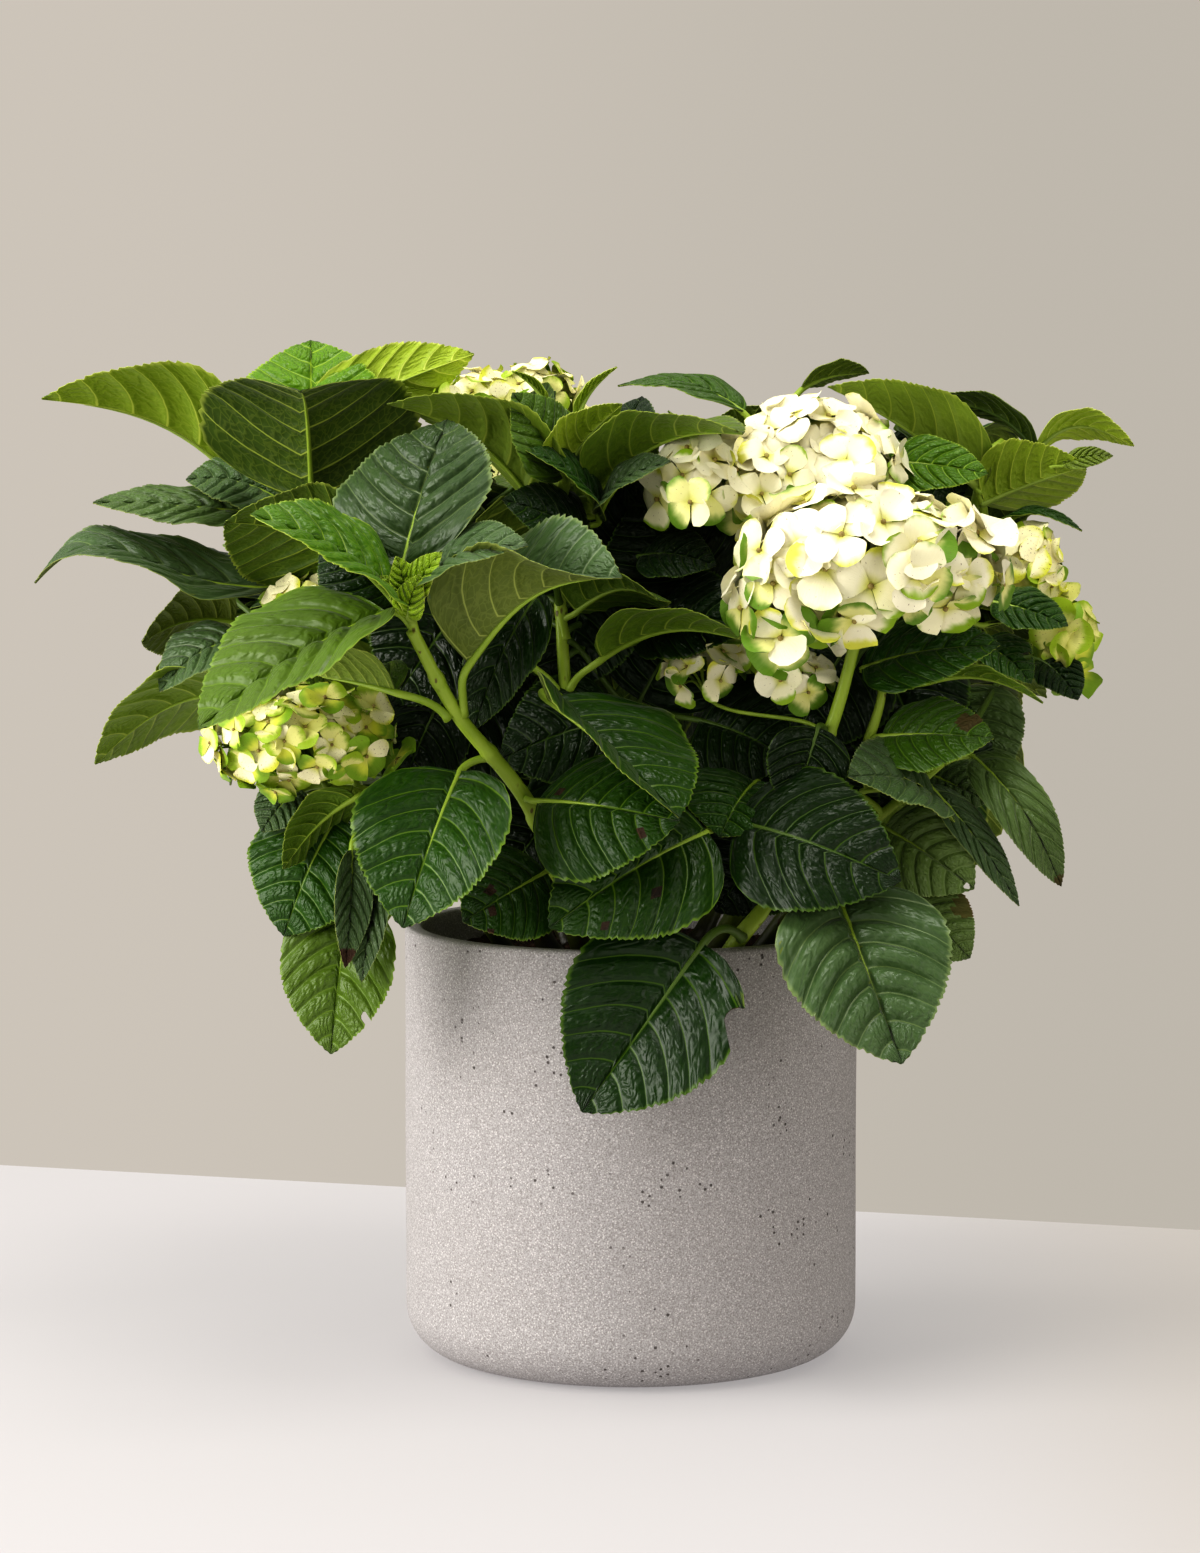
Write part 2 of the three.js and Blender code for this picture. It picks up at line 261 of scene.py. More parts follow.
def add_tube(pile, path, radii, sides, finish=0, tone=0.0):
    """A closed tube: round each point of the path a ring of that radius, square to the path."""
    tangent = unit(np.gradient(path, axis=0))
    mean = np.abs(unit(path[-1] - path[0]))
    level = np.eye(3)[np.argmin(mean)]
    side = unit(np.cross(level, tangent))
    other = np.cross(tangent, side)
    turn = np.linspace(0, 2 * np.pi, sides, endpoint=False)
    rings = (side[:, None] * np.cos(turn)[:, None] + other[:, None] * np.sin(turn)[:, None])
    radii = np.broadcast_to(radii, (len(path),)) if np.ndim(radii) < 2 else radii
    reach = radii[:, None, None] if radii.ndim == 1 else radii[:, :, None]
    points = (path[:, None] + rings * reach).reshape(-1, 3)
    quads, fans = ring_faces(len(path), sides)
    points = np.vstack([path[0], points, path[-1]])
    if np.ndim(tone):
        tone = np.concatenate([tone[:1], np.repeat(tone, sides), tone[-1:]])
    around = np.linspace(0, 1, sides + 1)
    ahead = np.linspace(0, 1, len(path))
    i, j = np.meshgrid(np.arange(len(path) - 1), np.arange(sides), indexing="ij")
    i, j = i.ravel(), j.ravel()
    cell = np.stack([np.stack([around[j], ahead[i]], 1), np.stack([around[j + 1], ahead[i]], 1),
                     np.stack([around[j + 1], ahead[i + 1]], 1), np.stack([around[j], ahead[i + 1]], 1)], 1)
    pile.add(points, quads, finish, cell, cell, tone)
    pile.more(len(points), fans, finish)


def turned(profile, sides):
    """Points and faces of a closed solid turned round the Z axis from (radius, height) pairs."""
    radius, height = profile[1:-1, 0], profile[1:-1, 1]
    turn = np.linspace(0, 2 * np.pi, sides, endpoint=False)
    x, y = radius[:, None] * np.cos(turn), radius[:, None] * np.sin(turn)
    z = np.broadcast_to(height[:, None], x.shape)
    points = np.stack([x, y, z], axis=-1).reshape(-1, 3)
    ends = np.array([[0, 0, profile[0, 1]], [0, 0, profile[-1, 1]]])
    quads, fans = ring_faces(len(radius), sides)
    return np.vstack([ends[:1], points, ends[1:]]), quads, fans


def make_turned(name, solid, finish, node, crease):
    """One piece from the points, quads and fans of a turned solid."""
    points, quads, fans = solid
    pile = Pile()
    pile.add(points, quads)
    pile.more(len(points), fans)
    make_piece(name, pile, [finish], [node], crease, bake_map=False)


def arc(radius, centre, start, end, count):
    """Points of an arc in a profile, from one angle to another in degrees."""
    turn = np.radians(np.linspace(start, end, count))
    return np.stack([centre[0] + radius * np.cos(turn), centre[1] + radius * np.sin(turn)], axis=1)


def resample(profile, step):
    """A profile with points no further apart than the step."""
    parts = [np.linspace(a, b, max(2, int(np.linalg.norm(b - a) / step) + 1))[:-1]
             for a, b in zip(profile[:-1], profile[1:])]
    return np.vstack(parts + [profile[-1:]])


# ================= a leaf =================

def blade_width(x):
    """Half width of the blade at a share of its length, from 0 to 1: rounded foot, long drawn tip."""
    foot, point = 0.56, 0.88
    widest = foot / (foot + point)
    body = (x / widest) ** foot * ((1 - x) / (1 - widest)) ** point
    return 0.018 + 0.982 * body


def blade_grid(rows, across):
    """Flat grid of a leaf. A row starts at the midrib and swings forward as the side veins do.

    Returns each point's share of length, signed share of the half width, vein phase and row share.
    """
    r = np.linspace(0, 1, rows + 1)[:, None] ** 1.35
    t = np.linspace(0, 1, across + 1) ** 1.15
    t = np.concatenate([-t[:0:-1], t])[None, :]
    swing = 0.44 * (1 - r) ** 0.9 * (1 - np.exp(-r / 0.075))
    s = np.abs(t)
    x = r + swing * (0.28 * s + 0.72 * s**2)
    edge = blade_width(np.clip(r + swing, 0, 1)) * np.ones_like(t)
    here = blade_width(np.clip(x, 0, 1))
    y = np.sign(t) * np.where(s > 0, np.minimum(edge * s, here) * (1 - s**6) + edge * s**7, 0)
    uneven = 0.85 + 0.5 * np.sin(2.3 * np.arange(rows + 1))
    tooth = (np.arange(rows + 1) % 2 * uneven)[:, None] * (s > RIM)
    y = y * (1 - TOOTH * tooth)
    x = x - 0.011 * tooth * (x > 0.05)
    phase = r**0.9 * VEINS + np.where(t > 0, 0.34, 0.0)
    return x, y, phase * np.ones_like(t), t * np.ones_like(r)


GRIDS = {id(size): blade_grid(**size) for size in (FINE, COARSE)}


def close_sheet(points, normals, quads, thick):
    """Upper and lower sheets a thickness apart, joined by a narrow wall along every open edge."""
    used, quads = np.unique(quads, return_inverse=True)
    quads = quads.reshape(-1, 4)
    points, normals, thick = points[used], normals[used], thick[used]
    count = len(points)
    edges = np.concatenate([quads[:, [k, (k + 1) % 4]] for k in range(4)])
    low = np.sort(edges, axis=1)
    _, first, counts = np.unique(low[:, 0] * count + low[:, 1], return_index=True, return_counts=True)
    rim = edges[first[counts == 1]]
    walls = np.stack([rim[:, 1], rim[:, 0], rim[:, 0] + count, rim[:, 1] + count], axis=1)
    both = np.vstack([points, points - normals * thick[:, None]])
    return both, quads, quads[:, ::-1] + count, walls, used


def leaf_spine(base, tip, face, arch, peak, droop):
    """Points along the midrib with tangents, sides and normals: a chord bowed towards the upper side."""
    s = np.linspace(0, 1, SPINE_POINTS)[:, None]
    chord = tip - base
    reach = np.linalg.norm(chord)
    ahead = chord / reach
    rise = unit(face - ahead * (face @ ahead))
    bow = np.sin(np.pi * s**peak)
    path = base + chord * s + rise * reach * (arch * bow)
    path = path - UP * reach * droop * np.maximum(0, (s - 0.6) / 0.4) ** 2
    along = lengths(path)
    tangent = unit(np.gradient(path, axis=0))
    side = unit(np.cross(tangent, rise))
    return path, along, tangent, side, np.cross(side, tangent)


def add_leaf(pile, ribs, leaf, in_cell):
    """Adds one blade to the pile, and its petiole with the rib beneath the blade to the ribs.

    A point goes out from the midrib along an arc that starts at the fold's angle and bends by cup, and
    rises with the margin's waves and with the quilting, which is highest midway between two side veins.
    The whole section turns round the midrib by twist. Where a bite is, faces are left out and the points
    round them move to the bite's wavering edge.
    """
    path, along, tangent, side, normal = leaf_spine(
        leaf["base"], leaf["tip"], leaf["face"], leaf["arch"], leaf["peak"], leaf["droop"])
    half = leaf["width"] / 2
    x, y, phase, t = GRIDS[id(leaf["size"])]
    share = along / along[-1]
    place, flat_side, flat_over = (between(x.ravel(), share, rows) for rows in (path, side, normal))
    turn = leaf["twist"] * (x.ravel() - 0.25)[:, None]
    across = flat_side * np.cos(turn) + flat_over * np.sin(turn)
    over = flat_over * np.cos(turn) - flat_side * np.sin(turn)

    q, sign = np.abs(y.ravel()), np.sign(y.ravel())
    fold = np.where(sign < 0, leaf["fold"][0], leaf["fold"][1]) * (1.15 - 0.4 * x.ravel())
    cup = leaf["cup"] + 1e-4
    out = half * (np.sin(fold + cup * q) - np.sin(fold)) / cup
    high = -half * (np.cos(fold + cup * q) - np.cos(fold)) / cup
    waves = np.sin(2 * np.pi * (leaf["waves"] * x.ravel() + leaf["start"] + 0.37 * (sign > 0)))
    high = high + leaf["wave"] * half * q**2 * waves

    slope = fold + cup * q
    outward = across * sign[:, None]
    local = over * np.cos(slope)[:, None] - outward * np.sin(slope)[:, None]
    gap = np.abs(phase.ravel() % 1 - 0.5)
    s = np.abs(t.ravel())
    valleys = (1 - np.exp(-((gap / SIDE_VALLEY) ** 2))) * (1 - np.exp(-((s / RIB_VALLEY) ** 2)))
    quilt = valleys * (1 - 0.75 * s**3)
    ripple = 0.35 * np.sin(13 * s + 2.2 * phase.ravel()) * s * (1 - s)
    lift = leaf["quilt"] * (quilt + ripple) * (0.35 + 0.65 * np.sin(np.pi * np.clip(x.ravel(), 0, 1)))
    points = place + outward * out[:, None] + over * high[:, None] + local * lift[:, None]

    quads = grid_faces(*x.shape)
    shown = seen_at(points)
    keep = np.ones(len(quads), bool)
    brown = np.zeros(len(quads), bool)
    torn = np.zeros(len(points), bool)
    for column, row, radius in leaf["bites"]:
        off = shown - np.array([column, row])
        wobble = 1 + 0.16 * np.sin(3 * np.arctan2(off[:, 1], off[:, 0]) + column)
        far = np.linalg.norm(off, axis=1) * PIXEL / (radius * wobble)
        gone = far[quads].mean(1) < 1
        rim = np.intersect1d(quads[gone], quads[~gone & keep])
        push = off[rim] * ((1 / np.maximum(far[rim], 0.2) - 1) * PIXEL)[:, None]
        points[rim] += RIGHT * push[:, :1] - OVER * push[:, 1:]
        torn[rim] = True
        keep &= ~gone
    for column, row, radius in leaf["browns"]:
        off = shown[quads].mean(1) - np.array([column, row])
        brown |= np.linalg.norm(off, axis=1) * PIXEL < radius

    thick = np.where((s > RIM) | (x.ravel() < 0.01), RIM_THICK, BLADE_THICK)
    both, upper, lower, walls, used = close_sheet(points, local, quads[keep], thick)
    torn = np.concatenate([torn[used], torn[used]])
    pattern = np.stack([phase.ravel(), t.ravel()], 1)[used]
    pattern = np.vstack([pattern, pattern])
    spread = np.stack([0.5 + 0.47 * y.ravel(), 0.02 + 0.96 * np.clip(x.ravel(), 0, 1)], 1)[used]
    spread = np.vstack([spread, spread])
    top, under = leaf["finish"]
    dead = 2 * len(TONES)
    shades = np.where(brown[keep], dead, top), np.where(brown[keep], dead, under)
    # a placed leaf's shade, which paints light (above 0) or shade (below 0) onto its finishes
    tone = leaf["tone"]
    pile.add(both, upper, shades[0], pattern[upper], in_cell(0, spread[upper]), tone)
    for faces, finish in ((lower, shades[1]), (walls, np.where(torn[walls].all(1), dead, under))):
        pile.more(len(both), faces, finish, pattern[faces], in_cell(1, spread[faces]))

    # the petiole, then the rib that carries on beneath the blade and thins out towards the tip
    root = leaf["stalk"]
    foot = path[0] - normal[0] * STALK_BELOW
    gap = np.linalg.norm(foot - root)
    leave = root + (unit(foot - root) * 0.7 + leaf["stalk_way"] * 0.5) * gap * 0.38
    stalk = bezier(root, leave, foot - tangent[0] * gap * 0.36, foot, STALK_POINTS)
    reach = np.linspace(RIB_FROM, RIB_TO, RIB_POINTS)
    line = np.vstack([stalk, between(reach, share, path - normal * RIB_BELOW)])
    thin = leaf["stalk_radius"]
    swell = np.exp(-np.linspace(0, 1, STALK_POINTS) / 0.10)
    radii = np.concatenate([thin * (1 + 0.5 * swell), thin * (0.92 - 0.85 * reach / RIB_TO)])
    add_tube(ribs, line, radii, STALK_SIDES, leaf["rib_finish"], tone)


# ================= flower heads =================

def sepal_grid():
    """A sepal on a grid: rows are arcs that widen from the claw to a broad rounded end.

    Returns the flat place along and across, for a floret of radius 1, and the grid's own shares.
    """
    v = np.linspace(0, 1, SEPAL_ROWS)[:, None] ** 0.85
    u = np.linspace(-1, 1, SEPAL_COLUMNS)[None, :]
    wide = 0.06 + 0.52 * np.sin(np.pi / 2 * v**0.75)
    along = 0.06 + 0.94 * v * (1 - 0.36 * np.abs(u) ** 2.3 * v)
    across = u * wide * (1 - 0.13 * np.abs(u) ** 3 * v**2)
    return along, across, u * np.ones_like(v), v * np.ones_like(u)


def add_florets(pile, centres, normals, radii, spins, shades, greens):
    """Four overlapping sepals round each centre, all worked out as one array, and a bead at the middle.

    A sepal's height is a cup that grows outwards, less a curl near its end, plus a lean to one side and a
    wave along the rim. A copy of its inner points, one thickness below, closes it.
    """
    along, across, u, v = sepal_grid()
    count = len(centres)
    helper = unit(np.cross(normals, UP + np.array([0.31, 0.17, 0])))
    other = np.cross(normals, helper)
    turns = spins[:, None] + np.arange(4) * np.pi / 2 + rng.normal(0, SEPAL_TURN, (count, 4))
    ahead = helper[:, None] * np.cos(turns)[..., None] + other[:, None] * np.sin(turns)[..., None]
    aside = np.cross(np.broadcast_to(normals[:, None], ahead.shape), ahead)
    sizes = radii[:, None] * rng.uniform(*SEPAL_SIZES, (count, 4))
    cup = rng.normal(*SEPAL_CUP, (count, 4))[..., None, None]
    curl = rng.normal(*SEPAL_CURL, (count, 4))[..., None, None]
    lean = rng.normal(*SEPAL_LEAN, (count, 4))[..., None, None]
    wave = rng.uniform(0, 6.28, (count, 4))[..., None, None]
    step = (np.arange(4) % 2 * LIFT_OF_PAIR)[None, :, None, None]
    rise = step + cup * v**1.3 - curl * v**4 + 0.10 * u**2 * v + lean * u * v
    rise = rise + 0.035 * v**2 * np.sin(4.2 * u + wave)
    scale = sizes[..., None, None, None]
    points = centres[:, None, None, None] + scale * (
        along[None, None, ..., None] * ahead[:, :, None, None]
        + across[None, None, ..., None] * aside[:, :, None, None]
        + rise[..., None] * normals[:, None, None, None])
    sheets = points.reshape(count * 4, -1, 3)

    quads = grid_faces(SEPAL_ROWS, SEPAL_COLUMNS)[:, ::-1]
    edge = np.zeros((SEPAL_ROWS, SEPAL_COLUMNS), bool)
    edge[[0, -1]] = edge[:, [0, -1]] = True
    inner = np.flatnonzero(~edge.ravel())
    total = edge.size
    back = np.arange(total)
    back[inner] = total + np.arange(len(inner))
    under = sheets[:, inner] - np.repeat(normals, 4, 0)[:, None] * SEPAL_THICK
    sheets = np.concatenate([sheets, under], axis=1)
    faces = np.concatenate([quads, back[quads][:, ::-1]])
    step_on = total + len(inner)
    every = (faces[None] + (np.arange(count * 4) * step_on)[:, None, None]).reshape(-1, 4)
    place = np.stack([u.ravel(), v.ravel()], 1)
    place = np.vstack([place, place[inner]])[faces]
    variant = rng.integers(0, VARIANTS**2, count * 4)
    corner = np.stack([variant % VARIANTS, variant // VARIANTS], 1)[:, None, None] / VARIANTS
    cell = corner + (place * [0.5, 1.0] + [0.5, 0.0])[None] * 0.23 + 0.01
    finish = np.repeat(shades.ravel(), len(faces))
    place = np.broadcast_to(place, (count * 4, *place.shape)).copy()
    place[..., 0] += 4 * variant[:, None, None]
    pile.add(sheets.reshape(-1, 3), every, finish, place, cell, np.repeat(greens.ravel(), step_on))

    bead = BEAD_POINTS[None] * (radii[:, None, None] * BEAD_SIZE)
    basis = np.stack([helper, other, normals], axis=1)
    beads = centres[:, None] + normals[:, None] * radii[:, None, None] * BEAD_RISE + np.einsum(
        "npk,nkc->npc", np.broadcast_to(bead, (count, *BEAD_POINTS.shape)), basis)
    beads = beads.reshape(-1, 3)
    first = (np.arange(count) * len(BEAD_POINTS))[:, None, None]
    pile.add(beads, (BEAD_QUADS[None] + first).reshape(-1, 4), BEAD_FINISH)
    pile.more(len(beads), (BEAD_FANS[None] + first).reshape(-1, 3), BEAD_FINISH)


BEAD_PROFILE = np.array([[0, -1.0], [0.8, -0.6], [1.0, 0.1], [0.65, 0.8], [0, 1.0]])
BEAD_POINTS, BEAD_QUADS, BEAD_FANS = turned(BEAD_PROFILE, 6)
BEAD_FINISH = 3  # its number among a head's finishes


def flower_head(pile, stalks, head):
    """Domes of florets: on each, places by the golden angle over an ellipsoid, each on a thin stalk.

    A dome may carry a facing of its own, and after it a mix of its own, in place of the head's. The mix
    is the share of clear sepals and the share of tipped ones; the rest are green.
    """
    for middle, half, count, size, *own in head["domes"]:
        facing = unit(np.array(own[0] if own else head["facing"], float))
        clear, some = own[1] if len(own) > 1 else head["mix"]
        middle, half = at(middle), np.array(half, float)
        k = np.arange(count) + 0.15
        z = 1 - (1 + head["skirt"]) * k / max(count, 8)
        turn = k * np.pi * GOLDEN + rng.normal(0, 0.16, count)
        flat = np.sqrt(np.clip(1 - z**2, 0, 1))
        side = unit(np.cross(facing, [0.2, 1.0, 0.1]))
        other = np.cross(facing, side)
        round_it = side * (flat * np.cos(turn))[:, None] + other * (flat * np.sin(turn))[:, None]
        way = facing * z[:, None] + round_it
        depth = rng.uniform(0.78, 1.04, count)[:, None]
        centres = middle + way * half * depth
        outward = unit(unit(way / half) + rng.normal(0, 0.17, (count, 3)) + np.array(head["tilt"]))
        radii = size / 2 * rng.uniform(0.84, 1.1, count)
        low = np.clip(0.3 - z, 0, 1)[:, None]
        pick = rng.uniform(0, 1, (count, 4)) + 0.5 * low
        shades = (pick > clear).astype(int) + (pick > clear + some)
        greens = np.clip(rng.normal(head["green"], 0.20, (count, 4)) + 0.3 * low, 0, 1)
        add_florets(pile, centres, outward, radii, rng.uniform(0, 6.28, count), shades, greens)
        hub = middle - facing * half[2] * 0.75
        for centre, normal in zip(centres, outward):
            leave = hub + (centre - hub) * 0.4 + facing * 4
            line = bezier(hub, leave, centre - normal * 12, centre, FLORET_STALK_POINTS)
            add_tube(stalks, line, np.linspace(*FLORET_STALK, len(line)), FLORET_STALK_SIDES)


# ================= finishes =================

def linear(red, green, blue):
    """A display colour, 0 to 255, as the light values that a shader takes."""
    c = np.array([red, green, blue]) / 255
    return (*np.where(c <= 0.04045, c / 12.92, ((c + 0.055) / 1.055) ** 2.4).tolist(), 1.0)


class Nodes:
    """Short ways to add and join nodes of one tree."""

    def __init__(self, tree):
        self.tree = tree

    def add(self, kind, settings=None, **inputs):
        """A new node with its settings and inputs; an input is named, or i and its number."""
        node = self.tree.nodes.new(kind)
        for key, value in (settings or {}).items():
            setattr(node, key, value)
        for key, value in inputs.items():
            self.feed(node, key.replace("_", " "), value)
        return node

    def feed(self, node, key, value):
        """Joins a socket to the input, or sets the input to a plain value."""
        socket = node.inputs[int(key[1:])] if key[0] == "i" and key[1:].isdigit() else node.inputs[key]
        if isinstance(value, bpy.types.NodeSocket):
            self.tree.links.new(value, socket)
        else:
            socket.default_value = value

    def math(self, operation, a, b=0.0, c=0.0):
        """The named operation on up to three values."""
        return self.add("ShaderNodeMath", {"operation": operation}, i0=a, i1=b, i2=c).outputs[0]

    def times(self, a, b):
        """a times b."""
        return self.math("MULTIPLY", a, b)

    def plus(self, a, b):
        """a and b added."""
        return self.math("ADD", a, b)

    def line(self, value, slope, base):
        """The value times the slope, plus the base."""
        return self.math("MULTIPLY_ADD", value, slope, base)

    def place(self):
        """The place on the surface, in the object's own metres."""
        return self.add("ShaderNodeTexCoord").outputs["Object"]

    def tone(self):
        """The mesh's tone there: below 0 darker, above 0 lighter. On a placed leaf that is painted shade and
        painted light, on a grown leaf a chance difference, at a cane's foot its brown; on a sepal how green
        it is.
        """
        return self.add("ShaderNodeAttribute", {"attribute_name": "tone"}).outputs["Fac"]

    def stretched(self, vector, scale):
        """The place times a scale along each axis."""
        return self.add("ShaderNodeMapping", Vector=vector, Scale=scale).outputs[0]

    def step(self, value, low, high):
        """0 below low, 1 above high, smooth between; the other way round where low is above high."""
        node = self.add("ShaderNodeMapRange", {"interpolation_type": "SMOOTHSTEP"})
        for key, given in (("Value", value), ("From Min", low), ("From Max", high)):
            self.feed(node, key, given)
        return node.outputs[0]

    def mix(self, share, a, b):
        """The colour that share of the way from a to b."""
        node = self.add("ShaderNodeMix", {"data_type": "RGBA", "blend_type": "MIX"})
        for key, given in (("i0", share), ("i6", a), ("i7", b)):
            self.feed(node, key, given)
        return node.outputs[2]

    def noise(self, vector, scale, detail=2.0, roughness=0.5):
        """Smooth noise from 0 to 1, with that many waves to a unit."""
        node = self.add("ShaderNodeTexNoise", Vector=vector, Scale=scale, Detail=detail,
                        Roughness=roughness)
        return node.outputs["Fac"]


def new_group(name, inputs, outputs):
    """A shader group with named sockets: inputs are (name, kind, default)."""
    group = bpy.data.node_groups.new(name, "ShaderNodeTree")
    for label, kind, default in inputs:
        socket = group.interface.new_socket(label, in_out="INPUT", socket_type=kind)
        socket.default_value = default
    for label, kind in outputs:
        group.interface.new_socket(label, in_out="OUTPUT", socket_type=kind)
    return group, Nodes(group), group.nodes.new("NodeGroupInput"), group.nodes.new("NodeGroupOutput")


COLOR, FLOAT = "NodeSocketColor", "NodeSocketFloat"


def venation_group():
    """Midrib, side veins, the rungs between them and the fine net, from the blade's own pattern map.

    The map's U is the vein phase (a side vein at each half) and V the share of the half width. A side vein
    is where U's fraction is within its width of a half, and the midrib where V is near 0. Rungs are where
    the fraction of five times V, wavering, is near a half, and the net is the borders of stretched cells.
    The margin takes the veins' colour. The height is low on the veins and highest between them.
    """
    group, n, given, result = new_group(
        "venation",
        [("Blade", COLOR, linear(40, 70, 30)), ("Vein", COLOR, linear(120, 140, 80)),
         ("Patch", COLOR, linear(30, 50, 25)), ("Vein Share", FLOAT, 0.6), ("Patchiness", FLOAT, 0.5),
         ("Net Share", FLOAT, 0.25)],
        [("Color", COLOR), ("Height", FLOAT)])
    uv = n.add("ShaderNodeUVMap", {"uv_map": "pattern"}).outputs[0]
    split = n.add("ShaderNodeSeparateXYZ", Vector=uv)
    u, v = split.outputs[0], n.math("ABSOLUTE", split.outputs[1])
    place = n.place()
    wobble = n.line(n.noise(uv, 3.0), 0.10, -0.05)
    gap = n.math("ABSOLUTE", n.math("SUBTRACT", n.math("FRACT", n.plus(u, wobble)), 0.5))
    width = n.line(v, -0.018, 0.034)
    side = n.step(n.math("DIVIDE", gap, width), 1.35, 0.6)
    rib = n.step(v, 0.034, 0.014)
    rung_place = n.plus(n.times(v, 5.0), n.times(n.noise(uv, 2.2), 3.0))
    rung_gap = n.math("ABSOLUTE", n.math("SUBTRACT", n.math("FRACT", rung_place), 0.5))
    rung = n.step(rung_gap, 0.13, 0.04)
    stretched = n.stretched(uv, (3.2, 13.0, 1.0))
    net = n.add("ShaderNodeTexVoronoi", {"feature": "DISTANCE_TO_EDGE", "voronoi_dimensions": "2D"},
                Vector=stretched, Scale=1.0)
    mesh = n.step(net.outputs["Distance"], 0.10, 0.02)
    strong = n.math("MAXIMUM", rib, n.times(side, 0.85))
    fine = n.times(n.math("MAXIMUM", n.times(rung, 0.8), mesh), given.outputs["Net Share"])
    veins = n.times(n.math("MAXIMUM", strong, fine), given.outputs["Vein Share"])
    broad = n.step(n.noise(place, 28.0, 3.0), 0.35, 0.68)
    speck = n.step(n.noise(place, 260.0, 2.0), 0.3, 0.75)
    patch = n.times(n.line(speck, 0.35, n.times(broad, 0.65)), given.outputs["Patchiness"])
    blade = n.mix(patch, given.outputs["Blade"], given.outputs["Patch"])
    # painted light and shade: above 0 the tone mixes the blade towards a pale green, below 0 towards near
    # black
    tone = n.tone()
    lighter = n.math("MAXIMUM", tone, 0.0)
    darker = n.math("MAXIMUM", n.times(tone, -1.0), 0.0)
    blade = n.mix(n.times(lighter, 0.75), blade, linear(160, 180, 70))
    blade = n.mix(n.times(darker, 0.7), blade, linear(8, 18, 5))
    margin = n.times(n.step(v, 0.95, 0.99), 0.55)
    n.feed(result, "Color", n.mix(n.math("MAXIMUM", veins, margin), blade, given.outputs["Vein"]))
    panel = n.math("MINIMUM", n.step(v, 0.0, 0.08), n.step(gap, 0.0, 0.24))
    puckers = n.line(n.step(rung_gap, 0.0, 0.46), 0.34, 0.46)
    puckers = n.line(n.step(net.outputs["Distance"], 0.0, 0.42), 0.08, puckers)
    n.feed(result, "Height", n.times(panel, puckers))
    return group


def surface(name, **plain):
    """A new material with its node helper and its shader, whose inputs take the given plain values."""
    made = bpy.data.materials.new(name)
    made.use_nodes = True
    n = Nodes(made.node_tree)
    shader = made.node_tree.nodes["Principled BSDF"]
    for key, value in plain.items():
        n.feed(shader, key.replace("_", " "), value)
    return made, n, shader


def use_group(n, group, **inputs):
    """A node that stands for the group, with its inputs fed."""
    node = n.add("ShaderNodeGroup", {"node_tree": group})
    for key, value in inputs.items():
        n.feed(node, key.replace("_", " "), value)
    return node


def bumped(n, shader, height, strength, distance):
    """Tilts the shader's normal by the slope of the height, which counts for the distance in metres."""
    bump = n.add("ShaderNodeBump", Height=height, Strength=strength, Distance=distance)
    n.feed(shader, "Normal", bump.outputs[0])


def blade_finish(name, blade, vein, patch, rough, vein_share, net_share, relief, patchiness=0.5, **plain):
    """A leaf surface: the venation's colour and height, and a roughness that wavers round its middle value.

    relief is how high the panels stand between the veins, in metres: below 0 the veins stand out instead.
    """
    made, n, shader = surface(name, **plain)
    pattern = use_group(n, VENATION, Blade=linear(*blade), Vein=linear(*vein), Patch=linear(*patch),
                        Vein_Share=vein_share, Net_Share=net_share, Patchiness=patchiness)
    n.feed(shader, "Base Color", pattern.outputs["Color"])
    place = n.place()
    uneven = n.line(n.noise(place, 90.0, 2.0), 0.22, rough - 0.11)
    n.feed(shader, "Roughness", uneven)
    bumped(n, shader, pattern.outputs["Height"], 1.0, relief)
    return made


VENATION = venation_group()
TONES = ["deep", "green", "young", "bright", "olive", "grey_and_sheen"]


